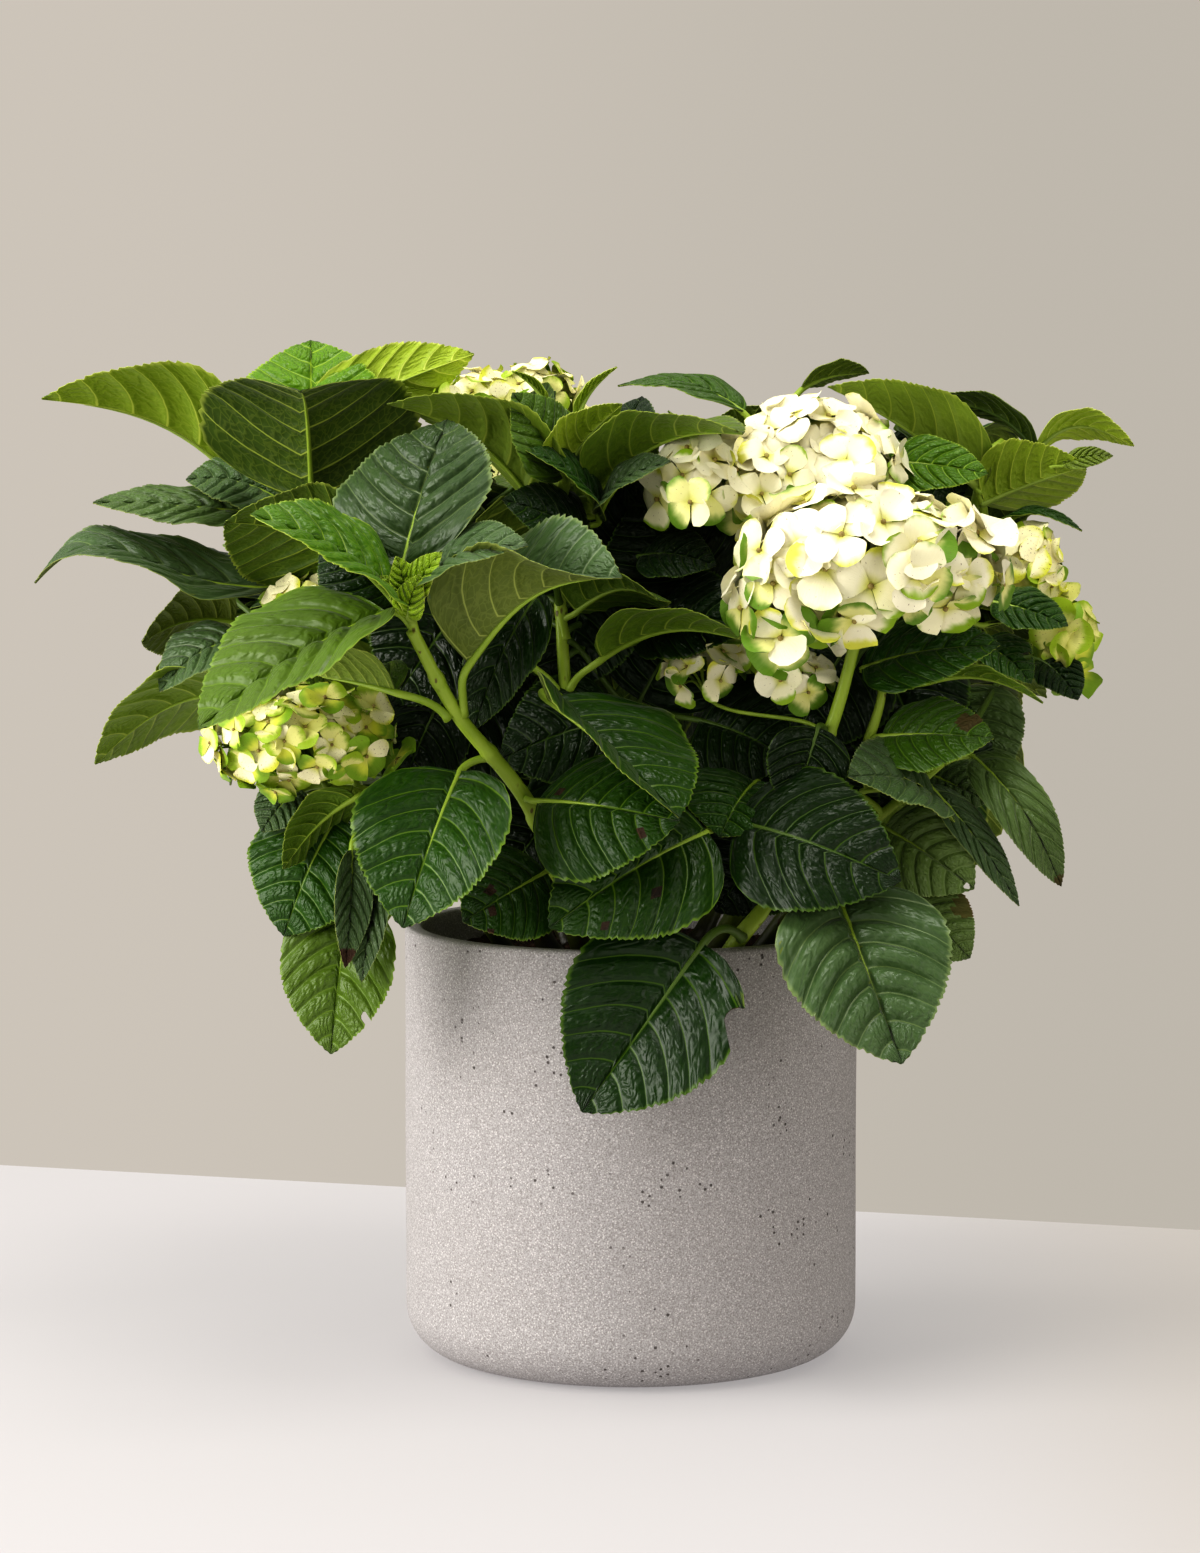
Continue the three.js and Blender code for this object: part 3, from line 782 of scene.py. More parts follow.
def leaf_finishes():
    """Upper and under surface of each tone, then the withered finish: their order is the finish number.

    A row holds the colours of blade, veins and patches, the roughness, and the shares of veins and net.
    """
    sunk, raised = 0.0014, -0.0009
    uppers = {
        "deep": ((24, 54, 5), (92, 122, 34), (10, 30, 3), 0.34, 0.50, 0.08),
        "green": ((46, 86, 9), (126, 156, 48), (27, 60, 6), 0.36, 0.50, 0.10),
        "young": ((94, 140, 14), (176, 200, 70), (66, 110, 10), 0.34, 0.60, 0.20),
        "bright": ((150, 180, 30), (206, 220, 100), (120, 154, 22), 0.40, 0.60, 0.22),
        "olive": ((74, 98, 14), (148, 164, 62), (50, 72, 10), 0.36, 0.62, 0.16),
        # grey-green with painted sheen: the greyish shine of leaves seen at a grazing angle
        "grey_and_sheen": ((86, 110, 68), (138, 156, 100), (58, 84, 44), 0.34, 0.50, 0.12),
    }
    unders = {
        "deep": ((72, 92, 24), (150, 166, 74), (54, 74, 16), 0.50, 0.80, 0.16),
        "green": ((112, 134, 42), (184, 196, 96), (90, 114, 32), 0.50, 0.80, 0.18),
        "young": ((138, 162, 38), (204, 216, 98), (112, 138, 28), 0.48, 0.80, 0.18),
        # partly the colour of young undersides, partly painted light: the glow through a leaf lit from
        # behind
        "bright": ((170, 192, 56), (222, 230, 124), (142, 168, 42), 0.48, 0.80, 0.18),
        "olive": ((98, 128, 24), (178, 192, 84), (70, 98, 14), 0.50, 0.80, 0.16),
        # its under side, grey-green with the same painted sheen
        "grey_and_sheen": ((112, 126, 52), (176, 186, 100), (88, 104, 38), 0.50, 0.80, 0.18),
    }
    made = []
    for tone in TONES:
        made.append(blade_finish(f"leaf upper {tone}", *uppers[tone], sunk,
                                 Specular_IOR_Level=0.42, Sheen_Weight=0.12, Sheen_Roughness=0.35))
        made.append(blade_finish(f"leaf under {tone}", *unders[tone], raised,
                                 Specular_IOR_Level=0.35, Sheen_Weight=0.08))
    made.append(blade_finish("leaf withered", (70, 44, 26), (116, 92, 60), (36, 24, 16), 0.75, 0.4, 0.3,
                             raised, patchiness=1.0))
    return made


def green_stem_finish():
    """Green cane: a noisy mix of two greens, browner where tone is below 0, with small raised specks.

    The specks are the middles of scattered cells, kept only where a coarser noise is high. The relief is a
    noise drawn out lengthwise, plus the specks.
    """
    made, n, shader = surface("green cane", Roughness=0.42)
    place = n.place()
    tone = n.tone()
    base = n.mix(n.noise(place, 60.0, 3.0), linear(136, 164, 44), linear(176, 196, 78))
    base = n.mix(n.math("MAXIMUM", tone, 0.0), base, linear(176, 196, 78))
    base = n.mix(n.math("MAXIMUM", n.times(tone, -1.0), 0.0), base, linear(46, 42, 20))
    drawn = n.stretched(place, (1.0, 1.0, 0.45))
    cells = n.add("ShaderNodeTexVoronoi", Vector=drawn, Scale=170.0).outputs["Distance"]
    rare = n.step(n.noise(place, 120.0, 1.0), 0.50, 0.56)
    speck = n.times(n.step(cells, 0.24, 0.12), rare)
    n.feed(shader, "Base Color", n.mix(n.times(speck, 0.8), base, linear(92, 62, 30)))
    streak = n.stretched(place, (1.0, 1.0, 0.06))
    bumped(n, shader, n.plus(n.noise(streak, 700.0, 2.0), speck), 0.5, 0.0004)
    return made


def rib_finish(name, color, dark):
    """A petiole and the rib under its blade: noise mixes its colour with a darker one, and roughens it."""
    made, n, shader = surface(name, Roughness=0.45)
    place = n.place()
    tint = n.mix(n.noise(place, 80.0, 2.0), linear(*color), linear(*dark))
    n.feed(shader, "Base Color", tint)
    bumped(n, shader, n.noise(place, 900.0, 2.0), 0.3, 0.0003)
    return made


def petal_finish(name, body, edge, start, end, veins, spots=0.67):
    """A sepal: body colour, running to the edge colour past a wavering line, with fine rays and freckles.

    The share of the edge colour rises from start to end with the way out along the sepal, a slow noise and
    the sepal's own tone. Rays are noise drawn out lengthwise, freckles where a finer noise passes spots.
    """
    made, n, shader = surface(name, Roughness=0.55, Sheen_Weight=0.1)
    uv = n.add("ShaderNodeUVMap", {"uv_map": "pattern"}).outputs[0]
    v = n.add("ShaderNodeSeparateXYZ", Vector=uv).outputs[1]
    green = n.tone()
    waver = n.line(n.noise(uv, 1.6, 2.0), 0.5, -0.25)
    reach = n.plus(n.plus(v, waver), n.line(green, 0.7, -0.35))
    share = n.step(reach, start, end)
    rays = n.stretched(uv, (9.0, 1.4, 1.0))
    ray = n.times(n.noise(rays, 1.6, 2.0), veins)
    tint = n.mix(share, linear(*body), linear(*edge))
    tint = n.mix(ray, tint, linear(206, 204, 104))
    tint = n.mix(n.step(v, 0.34, 0.0), tint, linear(222, 222, 120))
    freckle = n.step(n.noise(uv, 9.0, 3.0), spots, spots + 0.06)
    tint = n.mix(n.times(freckle, 0.75), tint, linear(120, 74, 40))
    n.feed(shader, "Base Color", tint)
    bumped(n, shader, n.noise(rays, 2.2, 3.0), 0.35, 0.0006)
    return made


def planter_finish():
    """Cast mineral: pale speckled grain over a warm grey, with scattered clusters of dark pits.

    A pit is the middle of a cell, if that cell's own chance colour is high and a coarse noise is high too.
    """
    made, n, shader = surface("planter mineral", Roughness=0.85)
    place = n.place()
    grain = n.noise(place, 1000.0, 2.0, 0.6)
    chips = n.add("ShaderNodeTexVoronoi", Vector=place, Scale=520.0).outputs["Distance"]
    soft = n.noise(place, 9.0, 2.0)
    tint = n.mix(n.step(grain, 0.32, 0.68), linear(143, 139, 138), linear(190, 187, 188))
    tint = n.mix(n.step(chips, 0.34, 0.16), tint, linear(215, 212, 211))
    tint = n.mix(n.times(soft, 0.3), tint, linear(173, 167, 163))
    cells = n.add("ShaderNodeTexVoronoi", Vector=place, Scale=250.0)
    where = n.step(n.noise(place, 24.0, 2.0), 0.54, 0.60)
    pick = n.step(n.add("ShaderNodeSeparateColor", Color=cells.outputs["Color"]).outputs[0], 0.72, 0.74)
    size = n.step(cells.outputs["Distance"], 0.30, 0.18)
    pit = n.times(n.times(size, pick), where)
    n.feed(shader, "Base Color", n.mix(n.times(pit, 0.85), tint, linear(70, 64, 60)))
    height = n.math("SUBTRACT", n.times(grain, 0.35), n.times(pit, 2.0))
    bumped(n, shader, height, 0.6, 0.0008)
    return made


def soil_finish():
    """Moist peat: a crumbly noise from near-black to brown, pale fibres where a finer noise is high."""
    made, n, shader = surface("potting soil", Roughness=0.95)
    place = n.place()
    crumb = n.noise(place, 240.0, 4.0, 0.7)
    tint = n.mix(n.step(crumb, 0.35, 0.7), linear(30, 20, 14), linear(92, 66, 46))
    fibre = n.step(n.noise(place, 420.0, 2.0), 0.68, 0.72)
    n.feed(shader, "Base Color", n.mix(fibre, tint, linear(150, 120, 88)))
    bumped(n, shader, crumb, 1.0, 0.004)
    return made


def floor_finish():
    """Pale floor with a faint glow of its own, darker and warmer to the right as painted shadow: the share
    of the way from x = 0.1 m to x = 0.5 m.
    """
    made, n, shader = surface("floor", Roughness=0.8, Emission_Strength=0.25)
    place = n.add("ShaderNodeSeparateXYZ", Vector=n.place())
    # painted shadow: colour and glow darken and warm towards the right
    share = n.step(place.outputs[0], 0.10, 0.50)
    n.feed(shader, "Base Color", n.mix(share, linear(152, 149, 149), linear(144, 139, 134)))
    n.feed(shader, "Emission Color", n.mix(share, linear(255, 252, 252), linear(240, 234, 227)))
    return made


LEAF_FINISHES = leaf_finishes()
STEM_FINISH = green_stem_finish()
RIB_FINISHES = [rib_finish("rib green", (168, 190, 76), (134, 162, 50)),
                rib_finish("rib pale", (168, 186, 92), (140, 164, 66)),
                rib_finish("rib shaded", (96, 120, 44), (72, 96, 34))]
# The bodies are cream-yellow: partly the sepals' own colour, partly painted light that passes through them,
# which makes their shaded parts yellowish.
PETAL_FINISHES = {
    "cream": [petal_finish("petal cream", (254, 249, 222), (226, 228, 92), 0.84, 1.14, 0.12),
              petal_finish("petal cream tipped", (252, 247, 212), (140, 176, 10), 0.66, 0.96, 0.14),
              petal_finish("petal cream green", (242, 240, 166), (92, 140, 4), 0.38, 0.84, 0.18)],
    "lime": [petal_finish("petal lime", (252, 246, 204), (220, 224, 70), 0.76, 1.08, 0.14, 0.62),
             petal_finish("petal lime tipped", (242, 240, 156), (156, 188, 16), 0.48, 0.86, 0.20, 0.64),
             petal_finish("petal lime green", (226, 232, 84), (122, 166, 8), 0.22, 0.74, 0.22)],
}
BEAD_MATERIAL = rib_finish("flower bead", (196, 186, 110), (112, 78, 44))


# ================= canes =================

# radii at the two ends, then the foot as (x, y) and the way up as (x, y, z), all in millimetres
CANES = {
    "cane_front_left": (6.5, 3.9, [(-28, -62), (-62, -128, 372), (-108, -172, 438), (-136, -186, 492)]),
    "cane_middle": (5.5, 3.3, [(-6, -40), (-38, -88, 390), (-42, -94, 448), (-45, -84, 515),
                               (-38, -62, 580)]),
    "cane_left": (6.5, 3.9, [(-52, -4), (-92, -14, 350), (-150, -22, 450), (-208, -26, 545)]),
    "cane_right_front": (6.0, 3.6, [(46, -66), (92, -112, 352), (126, -128, 425), (146, -132, 500)]),
    "cane_right": (6.5, 3.9, [(56, 4), (110, 4, 350), (178, 14, 455), (228, 32, 560)]),
    "cane_right_low": (5.5, 3.3, [(78, -34), (128, -58, 335), (176, -56, 385)]),
    "cane_left_low": (5.5, 3.3, [(-74, -42), (-112, -78, 320), (-140, -98, 350)]),
    "cane_back_left": (6.0, 3.6, [(-40, 58), (-88, 98, 350), (-140, 132, 430)]),
    "cane_back_right": (6.0, 3.6, [(44, 60), (92, 102, 350), (142, 132, 420)]),
    "cane_back": (6.0, 3.6, [(2, 40), (6, 84, 370), (8, 112, 460), (6, 128, 520)]),
}
CANE_POINTS, CANE_SIDES = 90, 16
CANE_FLARE, NODE_GAP, NODE_SWELL = 0.35, 62.0, 0.22
DARK_FOOT = 70.0  # height over which the foot's brown fades out


def cane_path(name):
    """The curve of a cane, from just inside the soil through its stops."""
    points = CANES[name][2]
    foot = (*points[0], SOIL_TOP - 1.0)
    return smooth_path([foot, *points[1:]], CANE_POINTS)


PATHS = {name: cane_path(name) for name in CANES}


def add_cane(pile, path, thick, thin, flare):
    """A cane with its bark's relief: taper, flared foot, a swollen ring at each node, low ridges.

    The radius is the taper times one plus the flare, which dies away from the foot, plus a bell at every
    node with a narrow dip above it, times two waves round the cane that turn slowly on the way up.
    """
    along = lengths(path)
    share = along / along[-1]
    turn = np.linspace(0, 2 * np.pi, CANE_SIDES, endpoint=False)
    from_node = (along + NODE_GAP * 0.45) % NODE_GAP - NODE_GAP / 2
    ring = NODE_SWELL * np.exp(-((from_node / 4.5) ** 2)) - 0.06 * np.exp(-(((from_node - 6) / 2.0) ** 2))
    body = (thick + (thin - thick) * share) * (1 + flare * np.exp(-along / 9.0) + ring)
    ridges = 1 + 0.03 * np.sin(4 * turn[None, :] + 0.02 * along[:, None])
    ridges = ridges + 0.02 * np.sin(9 * turn[None, :] + 0.11 * along[:, None])
    add_tube(pile, path, body[:, None] * ridges, CANE_SIDES, tone=-np.exp(-((along / DARK_FOOT) ** 2)))


# ================= the leaves in view, shoot by shoot =================

def leaf(base, tip, width, face, arch, fold, tone, shade, root, cup=-0.35, twist=0.0, wave=0.05, waves=2.5,
         peak=0.9, droop=0.0, quilt=QUILTING, bites=(), browns=(), stem=2.1):
    """One placed leaf. base and tip are (column, row, depth); face is where its upper side looks.

    arch bows the midrib, peak over 1 moves the top of the bow towards the tip, and droop bends the end
    down. fold lifts the halves (one value, or left and right), cup bends them further, and twist turns
    them along the midrib. wave and waves are the height and number of the margin's waves. tone names its
    finishes, and shade lightens (+) or darkens (-) it: painted light for a leaf that lies in light, painted
    shade for one that lies in shadow. root is where its petiole, of radius stem, starts: the name of a cane
    or shoot, or a place. bites and browns are (column, row, radius in millimetres).
    """
    folds = fold if isinstance(fold, tuple) else (fold, fold)
    stalk, on = (None, root) if isinstance(root, str) else (at(root), None)
    return {"base": at(base), "tip": at(tip), "width": width, "face": unit(np.array(face, float)),
            "arch": arch, "fold": folds, "cup": cup, "twist": twist, "wave": wave, "waves": waves,
            "peak": peak, "droop": droop, "tone_name": tone, "tone": shade, "stalk": stalk, "on": on,
            "quilt": quilt, "bites": bites, "browns": browns, "stalk_radius": stem,
            "start": rng.uniform(), "size": FINE}


def dark(base, tip, width, face, shade, root):
    """A plain leaf inside the crown, that closes it behind the others; a shade below 0 darkens it as painted
    shade of the crown's inside.
    """
    return leaf(base, tip, width, face, 0.1, 0.2, "deep", shade, root)


# Shoots in view: the stops of each, as (column, row, depth).
SHOOTS = {
    "front_left": [(432, 668, -178), (415, 632, -186), (405, 578, -190)],
    "middle": [(566, 640, -92), (560, 604, -88), (566, 560, -80)],
    "top_centre": [(566, 560, -80), (577, 522, -74), (564, 472, -70)],
    "left_crown": [(318, 536, -28), (305, 515, -30), (300, 496, -32)],
    "right_crown": [(980, 545, 22), (984, 512, 14), (976, 485, 8)],
    "right_low": [(868, 742, -110), (880, 704, -112), (884, 672, -108)],
    "right_side": [(852, 838, -98), (892, 806, -96), (944, 762, -92)],
    "left_edge": [(330, 672, -60), (292, 640, -55), (262, 600, -50)],
    "low_left": [(440, 842, -100), (392, 806, -106), (352, 790, -108)],
    "low_right": [(716, 976, -96), (738, 940, -118), (764, 908, -118), (792, 866, -110)],
    "low_front": [(548, 850, -100), (640, 838, -98), (712, 830, -96)],
}
SHOOT_POINTS, SHOOT_SIDES = 24, 10
SHOOT_RADIUS = (3.6, 2.4)  # at the two ends
THICK_SHOOTS = {"low_right": (6.4, 4.6)}
for shoot, stops in SHOOTS.items():
    PATHS[shoot] = smooth_path([at(stop) for stop in stops], SHOOT_POINTS)

LEAVES = {
    "leaves_left_crown": [
        leaf((312, 505, -56), (300, 382, -150), 150, (0.0, 0.45, 0.9), 0.15, 0.42, "olive", -0.75,
             "left_crown", cup=-0.3, peak=1.1, droop=0.05),
        leaf((256, 502, 6), (42, 399, -40), 106, (0.1, 0.6, 0.78), 0.15, (0.5, 1.0), "young", 0.0,
             "left_crown", cup=-0.25, quilt=2.6),
        leaf((312, 452, 0), (311, 341, 60), 100, (0.0, -0.8, 0.6), 0.05, 0.25, "young", 0.1, "left_crown",
             quilt=3.0),
        leaf((318, 434, 10), (474, 354, 40), 60, (0.3, 0.8, 0.5), 0.13, (0.15, 0.7), "bright", 0.2,
             "left_crown"),
        leaf((250, 513, -36), (93, 503, -60), 56, (0, -0.45, 0.9), 0.02, 0.2, "grey_and_sheen", 0.1, "left_crown",
             quilt=3.0),
        leaf((278, 500, -20), (186, 480, -30), 66, (-0.2, -0.5, 0.8), 0.12, 0.2, "grey_and_sheen", -0.1,
             "left_crown", quilt=3.0),
        leaf((268, 588, -50), (35, 583, -70), 72, (0.0, -0.5, 0.85), 0.19, (0.4, 0.3), "grey_and_sheen", -0.25,
             "left_edge", twist=-0.4, wave=0.08, peak=2.3),
        leaf((350, 562, -70), (225, 522, -110), 108, (0.1, 0.75, 0.6), 0.12, 0.1, "olive", -0.3,
             "left_edge"),
    ],
    "leaves_left_edge": [
        leaf((236, 622, -20), (142, 642, -52), 78, (-0.2, 0.6, 0.7), 0.14, 0.2, "grey_and_sheen", 0.1,
             "left_edge"),
        leaf((244, 640, -66), (160, 692, -86), 66, (-0.3, -0.45, 0.85), 0.14, 0.3, "grey_and_sheen", -0.1,
             "left_edge"),
        leaf((252, 694, -62), (95, 764, -58), 90, (-0.2, 0.5, 0.85), 0.15, 0.2, "olive", 0.35,
             "left_edge"),
    ],
    "leaves_front_left": [
        leaf((402, 570, -176), (448, 421, -112), 112, (-0.2, -0.9, 0.4), 0.06, (0.12, 0.6), "grey_and_sheen",
             -0.55, "front_left", quilt=5.0),
        leaf((398, 606, -186), (250, 515, -232), 92, (0.05, -0.55, 0.8), 0.09, (0.6, 0.2), "young", -0.35,
             "front_left", quilt=3.4),
        leaf((424, 590, -190), (528, 546, -226), 62, (0.0, -0.5, 0.85), 0.16, 0.35, "grey_and_sheen", -0.1,
             "front_left"),
        leaf((386, 612, -192), (199, 730, -244), 122, (-0.15, -0.6, 0.8), 0.06, (0.62, 0.1), "green", 0.3,
             (425, 657, -182), cup=-0.25, quilt=4.0),
        leaf((469, 664, -190), (622, 578, -226), 116, (-0.35, 0.5, 0.75), 0.17, (1.1, 0.75), "grey_and_sheen",
             -0.05, (463, 716, -172), cup=-0.15, twist=-1.25, peak=1.0, stem=2.6),
        leaf((396, 692, -186), (306, 674, -150), 68, (0.0, 0.75, 0.6), 0.02, (0.2, 1.4), "green", 0.2,
             (449, 719, -174), stem=2.5),
        leaf((540, 592, -140), (474, 730, -156), 60, (-0.5, -0.8, 0.3), 0.08, 0.25, "deep", 0.0, "middle"),
        leaf((404, 606, -176), (322, 545, -150), 64, (-0.2, -0.85, 0.4), 0.1, 0.25, "deep", -0.2,
             "front_left"),
        leaf((404, 606, -202), (396, 556, -212), 24, (0.3, -0.8, 0.5), 0.1, 0.4, "bright", 0.0,
             "front_left"),
        leaf((412, 606, -204), (442, 552, -218), 27, (-0.35, -0.8, 0.5), 0.1, 0.45, "bright", 0.0,
             "front_left"),
        leaf((408, 616, -206), (420, 574, -222), 22, (0.0, -0.9, 0.4), 0.15, 0.45, "bright", 0.0,
             "front_left"),
        leaf((402, 610, -204), (380, 576, -216), 18, (0.4, -0.6, 0.6), 0.15, 0.5, "bright", 0.0,
             "front_left"),
    ],
    "leaves_top_centre": [
        leaf((548, 527, -70), (388, 404, -124), 98, (-0.1, 0.6, 0.8), 0.19, (0.1, 0.95), "olive", 0.5,
             "top_centre"),
        leaf((563, 478, -84), (512, 393, -92), 62, (0.5, -0.7, 0.4), 0.05, 0.3, "green", 0.2,
             "top_centre"),
        leaf((563, 478, -80), (622, 404, -90), 60, (-0.6, 0.5, 0.5), 0.08, 0.4, "bright", 0.0,
             "top_centre"),
        leaf((576, 420, -62), (617, 367, -60), 16, (-0.5, 0.3, 0.6), 0.1, 0.5, "bright", 0.0,
             "top_centre"),
        leaf((546, 404, -60), (512, 371, -62), 14, (0.5, 0.3, 0.6), 0.1, 0.5, "young", 0.0, "top_centre"),
        leaf((598, 494, -66), (743, 434, -126), 96, (0.0, 0.55, 0.85), 0.16, (0.95, 0.1), "olive", 0.2,
             "top_centre"),
        leaf((600, 520, -78), (522, 448, -108), 46, (0.2, -0.45, 0.85), 0.12, 0.45, "green", -0.15,
             "top_centre"),
        leaf((600, 512, -80), (671, 462, -116), 44, (-0.1, -0.5, 0.8), 0.12, 0.35, "grey_and_sheen", -0.2,
             "top_centre"),
        dark((590, 545, -84), (502, 500, -112), 60, (0.1, -0.7, 0.7), 0.0, "top_centre"),
        dark((690, 596, -70), (640, 498, -60), 100, (0.0, -0.9, 0.4), -0.8, "middle"),
        dark((610, 560, -60), (662, 478, -50), 84, (0.0, -0.9, 0.4), -0.8, "middle"),
        dark((640, 556, -80), (716, 566, -96), 54, (0.0, -0.6, 0.8), -0.3, "middle"),
    ],
    "leaves_middle": [
        leaf((601, 659, -112), (759, 645, -150), 76, (0.0, 0.3, 0.95), 0.14, 0.35, "olive", 0.1,
             (569, 691, -96), stem=2.4),
        leaf((576, 612, -94), (658, 600, -150), 76, (-0.1, 0.7, 0.7), 0.16, 0.3, "olive", 0.0, "middle"),
        leaf((524, 655, -104), (508, 640, -112), 22, (0.2, 0.5, 0.6), 0.1, 0.3, "olive", 0.0,
             (558, 693, -96), stem=2.3),
        dark((640, 620, -70), (752, 628, -110), 76, (0.1, -0.8, 0.55), -0.2, "middle"),
        dark((590, 575, -78), (560, 690, -70), 84, (0.0, -0.9, 0.3), -0.35, "middle"),
        dark((640, 700, -72), (700, 600, -60), 92, (0.0, -0.9, 0.3), -0.35, "middle"),
        dark((520, 620, -80), (450, 640, -90), 80, (0.0, -0.9, 0.4), -0.6, "middle"),
        dark((472, 596, -60), (392, 704, -80), 100, (0.0, -0.9, 0.4), -0.8, "cane_middle"),
        dark((520, 680, -50), (420, 792, -80), 104, (0.0, -0.9, 0.4), -0.8, "cane_middle"),
        dark((556, 650, -40), (486, 772, -60), 96, (0.0, -0.9, 0.4), -0.8, "cane_middle"),
        dark((690, 640, -50), (770, 560, -50), 90, (0.0, -0.9, 0.3), -0.8, "cane_middle"),
        dark((700, 780, -70), (780, 880, -90), 92, (0.0, -0.9, 0.4), -0.7, "cane_right_front"),
        dark((850, 640, -76), (790, 750, -90), 96, (0.0, -0.9, 0.4), -0.7, "cane_right_front"),
        dark((880, 660, -70), (930, 770, -90), 96, (0.0, -0.9, 0.4), -0.6, "cane_right_front"),
        dark((820, 730, -80), (850, 850, -90), 96, (0.0, -0.9, 0.4), -0.6, "cane_right_front"),
        leaf((818, 728, -140), (792, 816, -150), 54, (0.0, -0.95, 0.2), 0.06, 0.25, "deep", -0.7,
             "cane_right_front"),
        leaf((766, 842, -104), (716, 912, -112), 78, (0.0, -0.9, 0.3), 0.06, 0.2, "deep", -0.9,
             "low_right"),
    ],
    "leaves_low_front": [
        leaf((538, 801, -166), (680, 821, -206), 102, (-0.1, -0.93, 0.35), 0.1, (-0.35, 0.12), "green",
             -0.4, "cane_front_left", bites=((641, 832, 1.2),), browns=((641, 832, 3.4), (560, 790, 2.6))),
        leaf((548, 700, -150), (679, 818, -220), 138, (0.3, -0.6, 0.75), 0.03, (0.05, 0.95), "green", -0.4,
             "cane_middle", browns=((711, 742, 5.0),)),
        leaf((707, 832, -146), (549, 928, -186), 102, (-0.1, -0.92, 0.4), 0.1, 0.15, "green", -0.5,
             "low_front", browns=((656, 892, 4.4), (606, 925, 2.6))),
        leaf((546, 872, -138), (463, 922, -170), 72, (-0.1, -0.92, 0.3), 0.04, 0.08, "green", -0.3,
             "cane_front_left", bites=((490, 890, 1.5), (492, 911, 1.3), (490, 934, 1.5)),
             browns=((490, 890, 3.6), (492, 911, 3.2), (490, 934, 3.6))),
        leaf((756, 782, -120), (720, 837, -150), 96, (-0.3, -0.85, 0.4), 0.12, 0.25, "green", -0.25,
             "low_front"),
        dark((620, 720, -100), (500, 760, -110), 84, (0.0, -0.8, 0.5), -0.35, "cane_middle"),
        dark((700, 720, -90), (790, 760, -100), 90, (0.0, -0.8, 0.5), -0.4, "cane_middle"),
        dark((600, 760, -90), (590, 860, -110), 90, (0.0, -0.9, 0.4), -0.4, "cane_middle"),
        dark((566, 800, -64), (500, 884, -74), 84, (0.0, -0.9, 0.4), -0.9, "cane_front_left"),
        dark((440, 700, -74), (398, 800, -84), 64, (0.0, -0.9, 0.4), -0.9, "cane_left_low"),
    ],
    "leaves_over_rim": [
        leaf((703, 944, -168), (582, 1112, -192), 122, (0.0, -1.0, 0.12), 0.05, (0.6, 0.1), "deep", 0.0,
             (742, 938, -128), cup=-0.2, bites=((750, 1034, 18.0), (734, 1066, 11.0), (724, 1034, 4.0)),
             stem=2.8),
    ],
    "leaves_low_right": [
        leaf((838, 896, -152), (902, 1064, -206), 116, (-0.15, -0.85, 0.5), 0.08, (0.1, 0.62), "grey_and_sheen",
             -0.12, "low_right", cup=-0.3, quilt=5.0, stem=2.6),
        leaf((738, 822, -146), (901, 881, -186), 98, (0.0, -0.94, 0.34), 0.12, 0.12, "deep", -0.4,
             "low_front", browns=((862, 905, 3.0),)),
        leaf((912, 900, -120), (970, 958, -130), 52, (-0.3, -0.85, 0.4), 0.1, 0.2, "grey_and_sheen", 0.25,
             "low_right", browns=((966, 905, 9.0),)),
        leaf((885, 828, -104), (974, 889, -136), 68, (-0.3, -0.8, 0.5), 0.12, 0.25, "grey_and_sheen", 0.25,
             "right_side", bites=((967, 886, 2.2),)),
        leaf((864, 790, -112), (955, 822, -146), 50, (0.0, 0.4, 0.9), 0.12, 0.4, "green", 0.1,
             "right_side"),
        leaf((935, 800, -128), (848, 777, -164), 84, (-0.25, -0.6, 0.75), 0.12, 0.3, "grey_and_sheen", -0.2,
             "right_side"),
        dark((800, 800, -90), (850, 870, -100), 90, (0.0, -0.9, 0.3), -0.4, "low_front"),
    ],
    "leaves_right_edge": [
        leaf((862, 668, -104), (1000, 645, -140), 60, (0.0, -0.75, 0.65), 0.07, 0.15, "green", 0.0,
             "right_low"),
        leaf((992, 602, -60), (1068, 626, -76), 44, (0.1, -0.6, 0.75), 0.05, 0.2, "green", -0.1,
             "right_low"),
        leaf((978, 646, -56), (1031, 684, -78), 44, (0.2, -0.6, 0.75), 0.14, 0.3, "green", -0.1,
             "right_low", bites=((1028, 656, 3.0),)),
        leaf((930, 681, -112), (1043, 703, -128), 48, (0.0, 0.25, 0.95), 0.12, 0.3, "olive", 0.0,
             "right_low"),
        leaf((882, 736, -118), (994, 738, -148), 62, (0.05, -0.75, 0.65), 0.04, 0.15, "green", 0.1,
             "right_low", browns=((966, 722, 6.0), (978, 718, 4.0))),
        leaf((964, 690, -40), (997, 785, -52), 66, (-0.3, -0.8, 0.5), 0.08, 0.2, "grey_and_sheen", 0.1,
             "right_side"),
        leaf((930, 774, -60), (988, 802, -70), 40, (-0.3, -0.85, 0.4), 0.08, 0.2, "grey_and_sheen", 0.1,
             "right_side"),
        leaf((974, 757, -92), (1061, 886, -104), 38, (-0.1, -0.85, 0.5), 0.3, 0.35, "grey_and_sheen", 0.15,
             "right_side", browns=((1061, 882, 5.0),)),
        leaf((930, 786, -116), (1019, 906, -128), 28, (0.3, -0.7, 0.5), 0.06, 0.3, "grey_and_sheen", -0.3,
             "right_side"),
        dark((1040, 660, -30), (1078, 700, -50), 40, (0.2, -0.6, 0.7), 0.0, "right_side"),
        dark((920, 780, -60), (960, 690, -40), 80, (0.2, -0.8, 0.4), -0.3, "right_side"),
